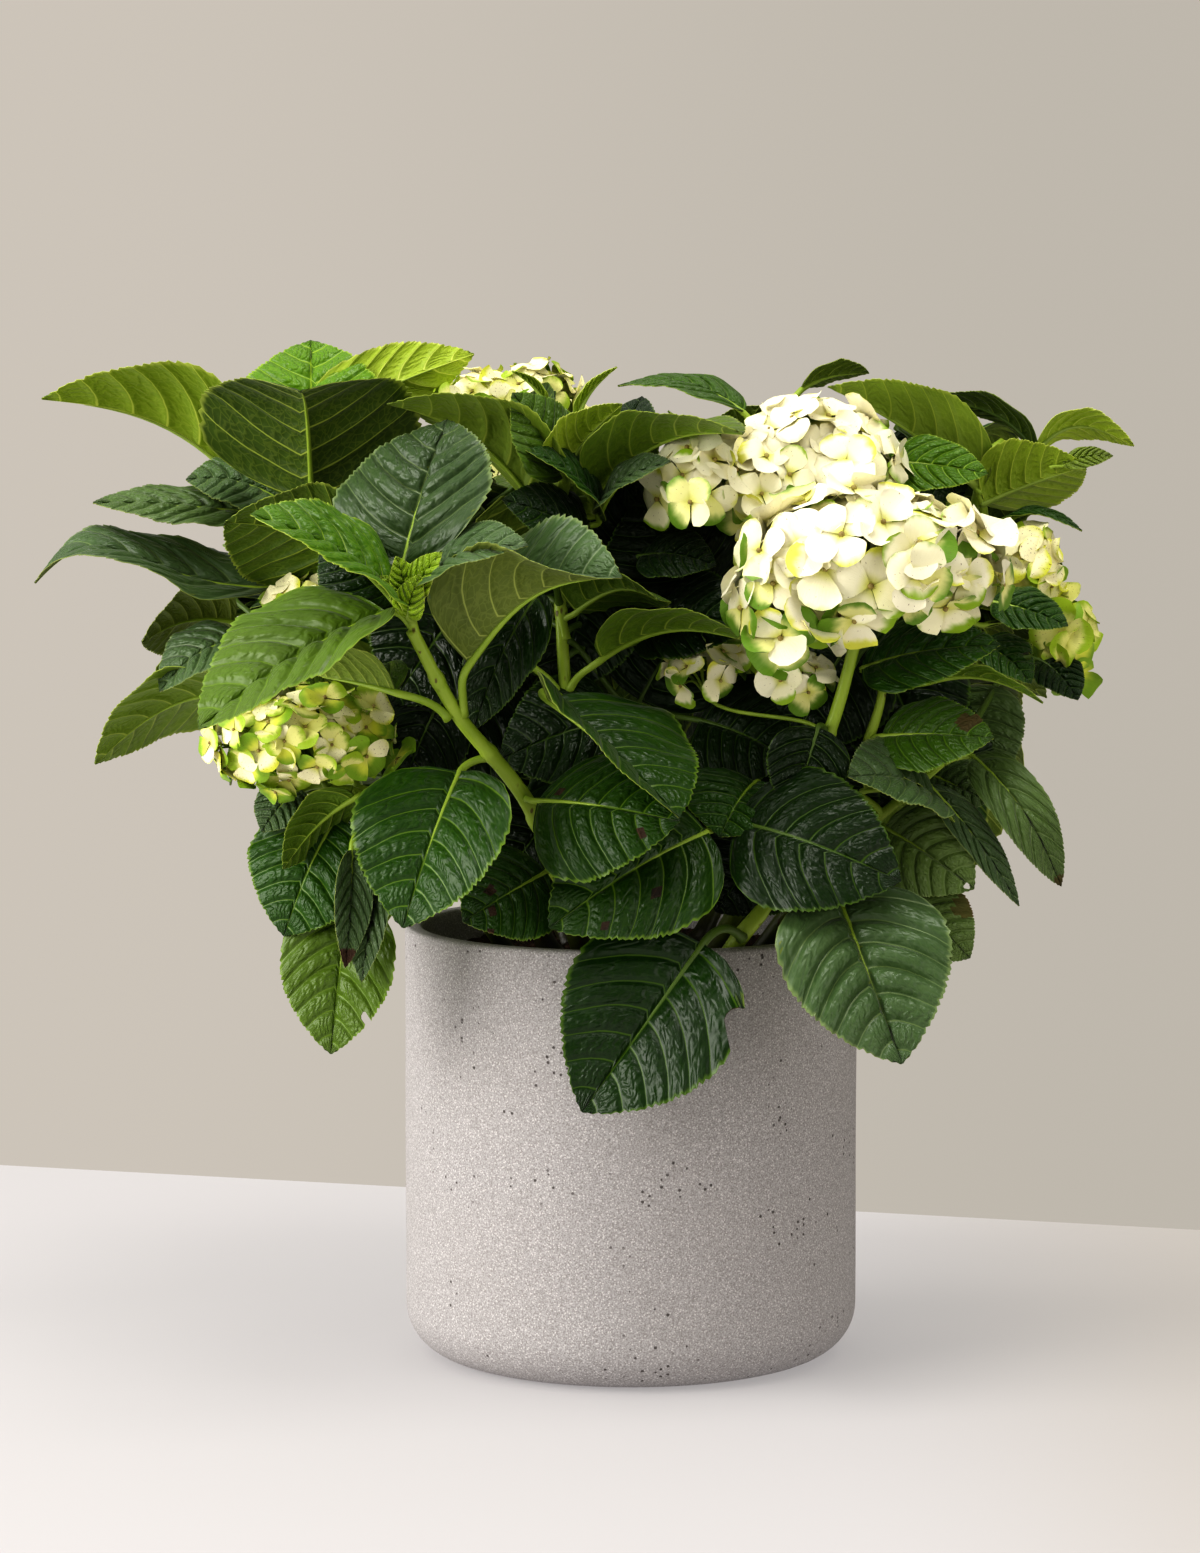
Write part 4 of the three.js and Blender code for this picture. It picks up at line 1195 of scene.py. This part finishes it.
        dark((900, 830, -60), (960, 850, -70), 70, (0.2, -0.8, 0.4), -0.3, "right_side"),
    ],
    "leaves_right_crown": [
        leaf((801, 389, 60), (869, 373, 84), 38, (0.0, 0.5, 0.85), 0.08, 0.3, "green", 0.0, "right_crown"),
        leaf((980, 492, 8), (828, 387, -22), 84, (0.1, 0.8, 0.55), 0.1, (0.05, 1.3), "olive", 0.6,
             "right_crown", cup=-0.15),
        leaf((1036, 450, 50), (928, 400, 72), 46, (0.2, 0.4, 0.9), 0.14, 0.3, "deep", 0.0, "right_crown"),
        leaf((984, 504, 10), (1086, 466, -16), 76, (0.3, 0.8, 0.4), 0.06, (0.9, 0.0), "young", 0.25,
             "right_crown"),
        leaf((1064, 465, -12), (1113, 456, -18), 20, (0.0, -0.7, 0.7), 0.1, 0.2, "olive", 0.5,
             (1050, 468, -10), stem=1.2),
        leaf((1036, 450, 30), (1134, 446, 36), 44, (0.0, 0.5, 0.85), 0.26, 0.25, "bright", 0.0,
             "right_crown"),
        leaf((884, 462, -18), (988, 474, -40), 46, (0.0, -0.8, 0.6), 0.05, 0.2, "young", -0.4,
             "right_crown"),
        leaf((990, 536, 10), (1082, 531, -20), 26, (0.0, -0.2, 1.0), 0.22, 0.3, "green", -0.1,
             "right_crown"),
        dark((900, 430, 40), (960, 500, 20), 90, (0.0, -0.7, 0.6), -0.2, "right_crown"),
    ],
    "leaves_low_left": [
        leaf((460, 772, -166), (403, 928, -206), 112, (-0.1, -0.9, 0.4), 0.08, (0.6, 0.08), "green", -0.3,
             "cane_front_left", cup=-0.3, stem=2.5),
        leaf((356, 797, -126), (283, 869, -140), 44, (0.1, 0.6, 0.7), 0.1, 0.3, "olive", 0.0, "low_left"),
        leaf((336, 818, -112), (284, 936, -128), 92, (-0.2, -0.8, 0.4), 0.08, 0.15, "green", -0.1,
             "low_left"),
        leaf((350, 902, -118), (331, 1054, -140), 80, (-0.1, -0.95, 0.3), 0.06, (0.5, 0.2), "green", 0.3,
             "low_left", bites=((366, 1018, 4.0), (352, 1012, 1.4))),
        leaf((352, 850, -140), (345, 968, -158), 30, (0.3, -0.7, 0.5), 0.05, 0.7, "grey_and_sheen", -0.1,
             "low_left", browns=((345, 966, 12.0),)),
        leaf((384, 868, -136), (362, 982, -156), 34, (-0.2, -0.7, 0.5), 0.05, 0.7, "grey_and_sheen", -0.2,
             "low_left"),
        leaf((455, 880, -110), (374, 944, -136), 44, (-0.1, 0.4, 0.85), 0.16, 0.3, "olive", 0.3,
             "low_left"),
        leaf((300, 790, -104), (262, 832, -116), 44, (-0.3, -0.7, 0.6), 0.1, 0.2, "grey_and_sheen", -0.2,
             "low_left"),
        dark((420, 820, -80), (340, 880, -70), 84, (-0.2, -0.8, 0.4), -0.4, "low_left"),
    ],
    "leaves_back_centre": [
        leaf((744, 412, -4), (618, 386, 30), 44, (0.0, -0.25, 0.95), 0.12, 0.25, "green", 0.1,
             "cane_back"),
    ],
    "leaves_back_left": [],
    "leaves_back_right": [],
    "leaves_back_low": [],
}

# ---- masses that the rule fills: middle, half sizes, cane, shoots, pairs of leaves on each ----
GROWN = {
    "leaves_left_crown": ((-212, 10, 590), (92, 80, 50), "cane_left", 2, 3),
    "leaves_left_edge": ((-250, 10, 460), (78, 70, 60), "cane_left", 2, 2),
    "leaves_top_centre": ((-28, -10, 585), (80, 50, 46), "cane_middle", 1, 3),
    "leaves_middle": ((-4, -40, 470), (90, 50, 60), "cane_middle", 2, 2),
    "leaves_low_left": ((-150, -70, 372), (80, 50, 44), "cane_left_low", 2, 2),
    "leaves_low_front": ((-10, -90, 386), (100, 40, 50), "cane_front_left", 1, 2),
    "leaves_low_right": ((120, -90, 372), (90, 40, 50), "cane_right_front", 2, 2),
    "leaves_right_edge": ((220, 10, 430), (80, 60, 60), "cane_right_low", 2, 3),
    "leaves_right_crown": ((215, 60, 590), (80, 60, 46), "cane_right", 2, 3),
    "leaves_back_centre": ((14, 140, 560), (112, 90, 76), "cane_back", 4, 3),
    "leaves_back_left": ((-182, 150, 475), (104, 104, 90), "cane_back_left", 4, 3),
    "leaves_back_right": ((182, 146, 450), (104, 104, 90), "cane_back_right", 4, 3),
    "leaves_back_low": ((0, 178, 385), (108, 84, 64), "cane_back", 3, 3),
}

# Each flower head: its domes as (place of the middle, half sizes, florets, width of a floret), which may
# go on with a facing and a mix of their own; then its colours and the cane that carries it.
BLOOMS = {
    "bloom_right_front": dict(
        domes=[((864, 560, -150), (76, 46, 46), 46, 49), ((784, 602, -158), (34, 26, 36), 13, 48),
               ((792, 634, -164), (22, 14, 14), 5, 46), ((948, 572, -146), (34, 26, 32), 12, 46)],
        petals="cream", mix=(0.66, 0.20), green=0.40, cane="cane_right_front"),
    "bloom_right_top": dict(
        domes=[((812, 470, -40), (54, 44, 44), 50, 41), ((696, 486, -84), (28, 22, 26), 11, 40),
               ((742, 490, -70), (32, 26, 30), 12, 40),
               ((693, 503, -128), (4, 4, 4), 1, 44, (-0.1, -0.97, 0.2), (0.0, 0.4))],
        petals="cream", mix=(0.84, 0.12), green=0.34, cane="cane_right_front"),
    "bloom_left_low": dict(
        domes=[((306, 740, -120), (60, 40, 34), 52, 31)], facing=(-0.25, -0.55, 0.75),
        petals="lime", mix=(0.5, 0.34), green=0.45, cane="cane_left_low"),
    "bloom_left_inner": dict(
        domes=[((330, 600, -52), (36, 30, 16), 22, 30)],
        petals="lime", mix=(0.6, 0.36), green=0.35, cane="cane_left"),
    "bloom_top_back": dict(
        domes=[((490, 404, 36), (30, 28, 20), 16, 34), ((536, 397, 42), (26, 26, 20), 14, 34)],
        petals="lime", mix=(0.6, 0.3), green=0.3, cane="cane_back"),
    "bloom_middle_low": dict(
        domes=[((704, 672, -100), (20, 18, 18), 9, 33), ((797, 682, -112), (20, 18, 14), 8, 34),
               ((752, 652, -84), (30, 20, 14), 8, 32)],
        petals="cream", mix=(0.5, 0.35), green=0.5, cane="cane_right_front", stalk=(1.5, 1.2)),
    "bloom_right_edge": dict(
        domes=[((1030, 566, -16), (20, 22, 20), 10, 38, (-0.2, -0.85, 0.4), (0.8, 0.2)),
               ((1064, 640, -12), (14, 22, 26), 9, 42, (-0.1, -0.9, 0.3), (0.2, 0.6))],
        facing=(0.3, -0.6, 0.6), petals="lime", mix=(0.5, 0.4), green=0.45, cane="cane_right"),
    "bloom_back": dict(
        domes=[((574, 470, 214), (62, 46, 42), 46, 42)], facing=(0.0, 0.3, 0.9),
        petals="cream", mix=(0.6, 0.3), green=0.45, cane="cane_back"),
    "bloom_back_right": dict(
        domes=[((881, 510, 166), (60, 46, 40), 42, 42)], facing=(0.2, 0.3, 0.9),
        petals="cream", mix=(0.6, 0.3), green=0.45, cane="cane_back_right"),
}

# What a head has unless its row says otherwise: where it looks, how far its domes reach below their
# middles as a share of their half size, how its florets lean, and its stalk's radii at the two ends.
HEAD = {"facing": (0.0, -0.3, 0.95), "skirt": 0.55, "tilt": (0, -0.1, 0.1), "stalk": (2.6, 2.0)}
HEAD_STALK_POINTS = 16


# ================= growing =================

def nearest_on(path, point):
    """The place on a path where a petiole to the point starts: near it, and rather lower than higher."""
    away = np.linalg.norm(path - point, axis=1) + 0.7 * np.maximum(0, path[:, 2] - point[2] + 6)
    k = int(np.argmin(away))
    return path[k], unit(path[min(k + 1, len(path) - 1)] - path[max(k - 1, 0)])


RIB_OF = {"deep": 2, "green": 0, "young": 1, "bright": 1, "olive": 0, "grey_and_sheen": 0}


def settle(one):
    """Fills in what a leaf takes from its shoot: where its petiole starts, which way, and its finishes."""
    tone = TONES.index(one["tone_name"])
    one["finish"] = (2 * tone, 2 * tone + 1)
    one["rib_finish"] = RIB_OF[one["tone_name"]]
    if one["stalk"] is None:
        one["stalk"], way = nearest_on(PATHS[one["on"]], one["base"])
    else:
        way = UP
    one["stalk_way"] = way
    return one


# The crown's outline in the frame, within which the grown leaves stay, as (column, row).
CROWN = np.array([
    (70, 396), (150, 366), (240, 360), (300, 350), (460, 356), (560, 380), (640, 385), (740, 404),
    (800, 385), (880, 378), (960, 402), (1050, 432), (1110, 455), (1070, 500), (1000, 520), (1065, 560),
    (1080, 640), (1075, 690), (1030, 720), (1035, 800), (1000, 870), (950, 950), (930, 1010),
    (880, 1030), (810, 950), (600, 925), (440, 925), (380, 950), (370, 1030), (300, 1010), (290, 930),
    (250, 860), (250, 800), (205, 770), (120, 740), (150, 690), (165, 640), (200, 610), (80, 575),
    (90, 535), (200, 545), (120, 498), (190, 470), (200, 445), (100, 415)], float)


def in_crown(points):
    """True if every point shows inside the outline: a level ray from it crosses an odd number of edges."""
    place = seen_at(points)[:, None]
    a, b = CROWN[None], np.roll(CROWN, -1, axis=0)[None]
    spans = (a[..., 1] > place[..., 1]) != (b[..., 1] > place[..., 1])
    share = (place[..., 1] - a[..., 1]) / (b[..., 1] - a[..., 1] + 1e-9)
    reach = a[..., 0] + share * (b[..., 0] - a[..., 0])
    return (np.sum(spans & (place[..., 0] < reach), axis=1) % 2 == 1).all()


# Places in the frame that stay open: (column, row, radius in pixels).
OPEN = np.array([(878, 422, 26), (1092, 520, 40), (1085, 560, 30), (455, 902, 12)], float)

# ---- the growing rule: lengths in millimetres, angles in radians ----
NEAR, BEHIND = 24, 8  # pixels from a placed leaf's mark, and how far a grown leaf stays behind it
POT_CLEAR, LIP_CLEAR, BOX_CLEAR = 14, 12, 4  # what it keeps from the planter's side, its lip and the box
TRIES = 24
START_STEP = 8  # points down the cane from one shoot's start to the next
SHOOT_END, SHOOT_LIFT = 0.55, 12  # where a shoot ends, as a share of the half size; its middle's lift
PAIR_STEP = 5  # points of a shoot from one pair of leaves to the next
OPENING, OPENING_LESS = 1.25, 0.42  # angle from shoot to leaf at the lowest pair, and less at the top
LEAF_REACH, PAIR_SHORTER, TRY_SHORTER = (100, 130), 0.14, 0.015
PETIOLE, HANG = (18, 30), (0.12, 0.4)  # petiole's length; the tip's drop as a share of the leaf's length
GROWN_TONES = {"deep": 0.5, "green": 0.35, "olive": 0.15}  # and how often each comes


def leaf_marks(one):
    """Points of a leaf that stand for all of it: along its midrib and halfway to each margin."""
    base, tip = one["base"], one["tip"]
    chord = tip - base
    reach = np.linalg.norm(chord)
    rise = unit(one["face"] - chord / reach * (one["face"] @ chord / reach))
    aside = np.cross(chord / reach, rise) * one["width"] / 2
    along = np.array([0.05, 0.2, 0.35, 0.5, 0.65, 0.8, 0.95])
    middle = base + chord * along[:, None] + rise * (reach * one["arch"] * np.sin(np.pi * along))[:, None]
    wide = blade_width(along)[:, None]
    return np.vstack([middle] + [middle + aside * wide * side for side in (-0.9, -0.45, 0.45, 0.9)])


def stays_behind(marks, placed):
    """True if no mark shows in an open place, or in front of a placed leaf's mark that shows near it."""
    shown = seen_at(marks)
    if (np.linalg.norm(shown[:, None] - OPEN[None, :, :2], axis=2) < OPEN[:, 2]).any():
        return False
    near = np.linalg.norm(shown[:, None] - seen_at(placed)[None], axis=2) < NEAR
    return not (near & (marks[:, None, 1] < placed[None, :, 1] + BEHIND)).any()


def grow(name, shoots, rng):
    """Side shoots of one mass, each with crossed pairs of leaves that get smaller and more upright.

    A shoot runs from the cane's end, or a step or two below it, to a place in a chance direction from the
    mass's middle. Each pair stands a quarter turn round from the last, and each leaf leaves the shoot at the
    opening angle, with some chance in both.
    A leaf that would show outside the crown's outline, or in front of the mass's nearest depth, or touch
    the planter, is tried again a little shorter and turned, and left out after the last try.
    """
    middle, half, cane, count, pairs = GROWN[name]
    nearest = middle[1] - half[1] * 0.7
    middle, half = np.array(middle, float), np.array(half, float)
    leaves = []
    for k in range(count):
        root = PATHS[cane][-1 - START_STEP * (k % 3)]
        spread = unit(rng.normal(0, 1, 3) * [1, 1, 0.35] + [0, 0, 0.45])
        end = middle + spread * half * SHOOT_END
        bend = (root + end) / 2 + UP * SHOOT_LIFT
        path = smooth_path([root, bend, end], SHOOT_POINTS)
        before = len(leaves)
        axis = unit(path[-1] - path[-6])
        side = unit(np.cross(axis, [0.3, 1.0, 0.2]))
        other = np.cross(axis, side)
        start = rng.uniform(0, np.pi)
        for pair in range(pairs):
            spot = path[SHOOT_POINTS - 1 - (pairs - 1 - pair) * PAIR_STEP]
            for turn in (0, np.pi):
                for attempt in range(TRIES):
                    angle = start + pair * np.pi / 2 + turn + rng.normal(0, 0.15 + 0.08 * attempt)
                    out = side * np.cos(angle) + other * np.sin(angle)
                    open_out = OPENING - OPENING_LESS * pair / max(1, pairs - 1) + rng.normal(0, 0.08)
                    way = unit(axis * np.cos(open_out) + out * np.sin(open_out))
                    reach = rng.uniform(*LEAF_REACH) * (1 - PAIR_SHORTER * pair)
                    reach = reach * (1 - TRY_SHORTER * attempt)
                    base = spot + way * rng.uniform(*PETIOLE) + UP * 3
                    tip = base + way * reach - UP * reach * rng.uniform(*HANG)
                    aside = unit(np.cross(tip - base, UP)) * reach * 0.34
                    rim = np.array([tip] + [base + (tip - base) * far + aside * turn_side
                                            for far in (0.3, 0.65) for turn_side in (-1, 1)])
                    fits = (rim > CAD_LOW + BOX_CLEAR).all() and (rim < CAD_HIGH - BOX_CLEAR).all()
                    over_pot = np.hypot(rim[:, 0], rim[:, 1]) < POT_RADIUS + POT_CLEAR
                    clear = not (over_pot & (rim[:, 2] < POT_HEIGHT + LIP_CLEAR)).any()
                    face = unit(UP * 0.9 + axis * 0.5 - way * 0.15)
                    marks = leaf_marks({"base": base, "tip": tip, "face": face, "width": reach * 0.72,
                                        "arch": 0.18})
                    behind = stays_behind(marks, PLACED)
                    if fits and clear and behind and rim[:, 1].min() > nearest and in_crown(marks):
                        break
                else:
                    continue
                leaves.append(settle({
                    "base": base, "tip": tip, "width": np.linalg.norm(tip - base) * rng.uniform(0.66, 0.8),
                    "face": face, "arch": rng.uniform(0.12, 0.24), "fold": (rng.uniform(0.1, 0.4),) * 2,
                    "cup": rng.uniform(-0.5, -0.1), "twist": rng.normal(0, 0.2), "wave": 0.07, "waves": 2.5,
                    "peak": rng.uniform(0.8, 1.1), "droop": 0.0,
                    "tone_name": rng.choice(list(GROWN_TONES), p=list(GROWN_TONES.values())),
                    "tone": rng.normal(-0.05, 0.12), "stalk": spot, "on": None, "quilt": QUILTING,
                    "bites": (), "browns": (), "stalk_radius": 2.0, "start": rng.uniform(),
                    "size": COARSE}))
        if len(leaves) > before + 1:
            shoots.append(path)
        else:
            del leaves[before:]
    return leaves


PLACED = np.vstack([leaf_marks(one) for placed in LEAVES.values() for one in placed])


def add_planter():
    """The planter's wall, foot, lip and hollow, turned from one profile of arcs and straights.

    Each point then moves away from the axis by a wave of its height and its angle.
    """
    foot, lip, bowl = POT_FOOT_ROUNDING, POT_LIP_ROUNDING, POT_INNER_ROUNDING
    inner = POT_RADIUS - POT_WALL
    profile = np.vstack([
        [[0, 0], [POT_RADIUS - foot - 20, 0]],
        arc(foot, (POT_RADIUS - foot, foot), -90, 0, 14),
        arc(lip, (POT_RADIUS - lip, POT_HEIGHT - lip), 0, 90, 5),
        arc(lip, (inner + lip, POT_HEIGHT - lip), 90, 180, 5),
        arc(bowl, (inner - bowl, POT_FLOOR + bowl), 0, -90, 6),
        [[0, POT_FLOOR]]])
    points, quads, fans = turned(resample(profile, PLANTER_STEP), PLANTER_SIDES)
    dent = DENT * np.sin(points[:, 2] / 31.0 + 3 * np.arctan2(points[:, 1], points[:, 0]))
    away = np.hypot(points[:, 0], points[:, 1])[:, None] + 1e-9
    points = points + np.where(away > 1, points / away, 0) * [1, 1, 0] * dent[:, None]
    make_turned("planter_cast", (points, quads, fans), planter_finish(), "planter", 30)


def add_soil():
    """The soil's top: a disc of rings whose height is a sum of waves and grains, closed by a flat foot."""
    radius, floor = POT_RADIUS - POT_WALL - 0.5, SOIL_TOP - SOIL_DEEP
    profile = np.vstack([[[0, floor], [radius, floor], [radius, SOIL_TOP - 4]],
                         np.stack([np.linspace(radius, 3, SOIL_RINGS), np.full(SOIL_RINGS, SOIL_TOP)], 1),
                         [[0, SOIL_TOP]]])
    points, quads, fans = turned(profile, SOIL_SIDES)
    grains = rng.normal(0, SOIL_GRAIN, len(points))
    x, y = points[:, 0], points[:, 1]
    swell = 2.2 * np.sin(x / 17 + 1) * np.sin(y / 13) + 1.4 * np.sin(x / 6.1) * np.sin(y / 7.3 + 2)
    top = points[:, 2] > SOIL_TOP - 1
    points[:, 2] += np.where(top, swell + grains, 0)
    make_turned("soil_bed", (points, quads, fans), soil_finish(), "soil", 180)


def add_canes():
    """Each cane's bark as a piece of its own."""
    for name, (thick, thin, _) in CANES.items():
        pile = Pile()
        add_cane(pile, PATHS[name], thick, thin, CANE_FLARE)
        make_piece(f"{name}_bark", pile, [STEM_FINISH], [name], 180, bake_map=False)


def cell_of(k, count):
    """A function that puts leaf k's upper (0) or under (1) sheet in a cell of its own in the bake map.

    The map has as many rows as columns, enough for two cells a leaf: a cell's place plus the place in it,
    over the number of columns.
    """
    across = int(np.ceil(np.sqrt(2 * count)))

    def place(sheet, spread):
        """The places of the sheet's corners in its cell."""
        cell = 2 * k + sheet
        return (spread + np.array([cell % across, cell // across])) / across
    return place


def add_foliage():
    """Each mass's leaves as one piece, and all petioles and side shoots as one piece each.

    A mass's own leaves come first, then those that grow by chance from a seed made of its name.
    """
    ribs, shoots, grown = Pile(), Pile(), []
    for name, placed in LEAVES.items():
        leaves = [settle(one) for one in placed]
        if name in GROWN:
            leaves += grow(name, grown, np.random.default_rng(len(name) * 31 + ord(name[-1])))
        pile = Pile()
        for k, one in enumerate(leaves):
            add_leaf(pile, ribs, one, cell_of(k, len(leaves)))
        make_piece(f"{name}_blades", pile, LEAF_FINISHES, [name])
    make_piece("petioles", ribs, RIB_FINISHES, crease=180)
    for shoot in SHOOTS:
        radii = np.linspace(*THICK_SHOOTS.get(shoot, SHOOT_RADIUS), SHOOT_POINTS)
        add_tube(shoots, PATHS[shoot], radii, SHOOT_SIDES)
    for path in grown:
        add_tube(shoots, path, np.linspace(*SHOOT_RADIUS, len(path)), SHOOT_SIDES)
    make_piece("side_shoots", shoots, [STEM_FINISH], crease=180)


def add_blooms():
    """Each head's florets as one piece, and all stalks as one more.

    A head's stalk is a curve that leaves its cane the way the cane runs and comes up into the first dome
    from below.
    """
    stalks = Pile()
    for name, head in BLOOMS.items():
        pile = Pile()
        head = {**HEAD, **head}
        flower_head(pile, stalks, head)
        middle, half = head["domes"][0][:2]
        hub = at(middle) - unit(np.array(head["facing"], float)) * half[2] * 0.75
        root, way = nearest_on(PATHS[head["cane"]], hub)
        gap = np.linalg.norm(hub - root)
        line = bezier(root, root + way * gap * 0.4, hub - UP * gap * 0.3, hub + UP * 4, HEAD_STALK_POINTS)
        add_tube(stalks, line, np.linspace(*head["stalk"], len(line)), SHOOT_SIDES)
        finishes = PETAL_FINISHES[head["petals"]] + [BEAD_MATERIAL]
        make_piece(f"{name}_florets", pile, finishes, [name], 75)
    make_piece("flower_stalks", stalks, [RIB_FINISHES[0]], crease=180, bake_map=False)


# ================= the set =================

FLOOR_END = ((0, 1165), (1200, 1230))  # two places in the frame on the line where the floor ends
FLOOR_FRONT, FLOOR_SIDE = -6000.0, 9000.0
WORLD_LIGHT, WORLD_IN_GLOSS = 1.0, 0.60  # strength of the world as light, and as seen in glossy surfaces
LAMP_COLOR = (1.0, 0.98, 0.95)
LAMPS = {  # place, aim, width and height in metres, watts
    "window": ((-2.45, -1.05, 1.05), (0, 0, 0.4), (2.6, 1.7), 61),
    "top": ((0.1, -0.6, 2.4), (0, 0, 0.5), (0.9, 0.9), 14),
    "fill": ((2.3, -2.2, 0.9), (0, 0, 0.3), (2.0, 1.6), 14),
}


def add_floor():
    """A pale floor, whose far edge is the straight line through the two places where it ends."""
    one, other = (on_floor(*place) for place in FLOOR_END)
    slope = (other - one) / (other[0] - one[0])
    corners = [(-FLOOR_SIDE, FLOOR_FRONT, 0), (FLOOR_SIDE, FLOOR_FRONT, 0),
               one + slope * (FLOOR_SIDE - one[0]), one + slope * (-FLOOR_SIDE - one[0])]
    corners = [(np.array(corner) * MM).tolist() for corner in corners]
    mesh = bpy.data.meshes.new("floor")
    mesh.from_pydata(corners, [], [(0, 1, 2, 3)])
    mesh.materials.append(floor_finish())
    floor = put("floor", mesh)


def add_world():
    """The world as light: a dome that is brighter above and to the left, and dimmer in glossy surfaces.

    The camera sees a plain backdrop colour instead, a little darker to the right.
    """
    world = bpy.data.worlds.new("studio")
    bpy.context.scene.world = world
    world.use_nodes = True
    n = Nodes(world.node_tree)
    light = n.add("ShaderNodeBackground", Strength=WORLD_LIGHT)
    sky = n.add("ShaderNodeBackground", Strength=1.0)
    mirrored = n.add("ShaderNodeBackground", Strength=WORLD_IN_GLOSS)
    way = n.add("ShaderNodeSeparateXYZ", Vector=n.add("ShaderNodeTexCoord").outputs["Generated"])
    height, aside = way.outputs[2], way.outputs[0]
    dome = n.step(n.line(aside, -0.25, height), 0.25, 0.90)
    shade = n.mix(dome, linear(132, 129, 123), linear(252, 250, 245))
    n.feed(light, "Color", shade)
    n.feed(mirrored, "Color", shade)
    wall = n.step(aside, -0.14, 0.12)
    n.feed(sky, "Color", n.mix(wall, linear(181, 175, 167), linear(171, 166, 158)))
    path = n.add("ShaderNodeLightPath")
    lit = n.add("ShaderNodeMixShader", i0=path.outputs["Is Glossy Ray"], i1=light.outputs[0],
                i2=mirrored.outputs[0])
    both = n.add("ShaderNodeMixShader", i0=path.outputs["Is Camera Ray"], i1=lit.outputs[0],
                 i2=sky.outputs[0])
    n.feed(world.node_tree.nodes["World Output"], "Surface", both.outputs[0])


def add_lamps():
    """Soft rectangular lamps, each turned from its place towards its aim."""
    for name, (place, aim, size, watts) in LAMPS.items():
        lamp = bpy.data.lights.new(name, "AREA")
        lamp.shape = "RECTANGLE"
        lamp.energy, lamp.size, lamp.size_y = watts, *size
        lamp.color = LAMP_COLOR
        shown = put(name, lamp)
        shown.location = place
        shown.rotation_euler = (Vector(aim) - Vector(place)).to_track_quat("-Z", "Y").to_euler()


def add_camera():
    """The camera at its place, looking at its aim."""
    lens = bpy.data.cameras.new("camera")
    lens.lens, lens.sensor_width, lens.sensor_fit = LENS, SENSOR, "AUTO"
    lens.clip_end = 50
    camera = put("camera", lens)
    camera.location = Vector(CAMERA_PLACE * MM)
    camera.rotation_euler = Vector(LOOK).to_track_quat("-Z", "Y").to_euler()
    bpy.context.scene.camera = camera
    bpy.context.scene.view_settings.view_transform = "Standard"
    bpy.context.scene.view_settings.look = "High Contrast"


add_floor()
add_world()
add_lamps()
add_camera()
add_planter()
add_soil()
add_canes()
add_foliage()
add_blooms()
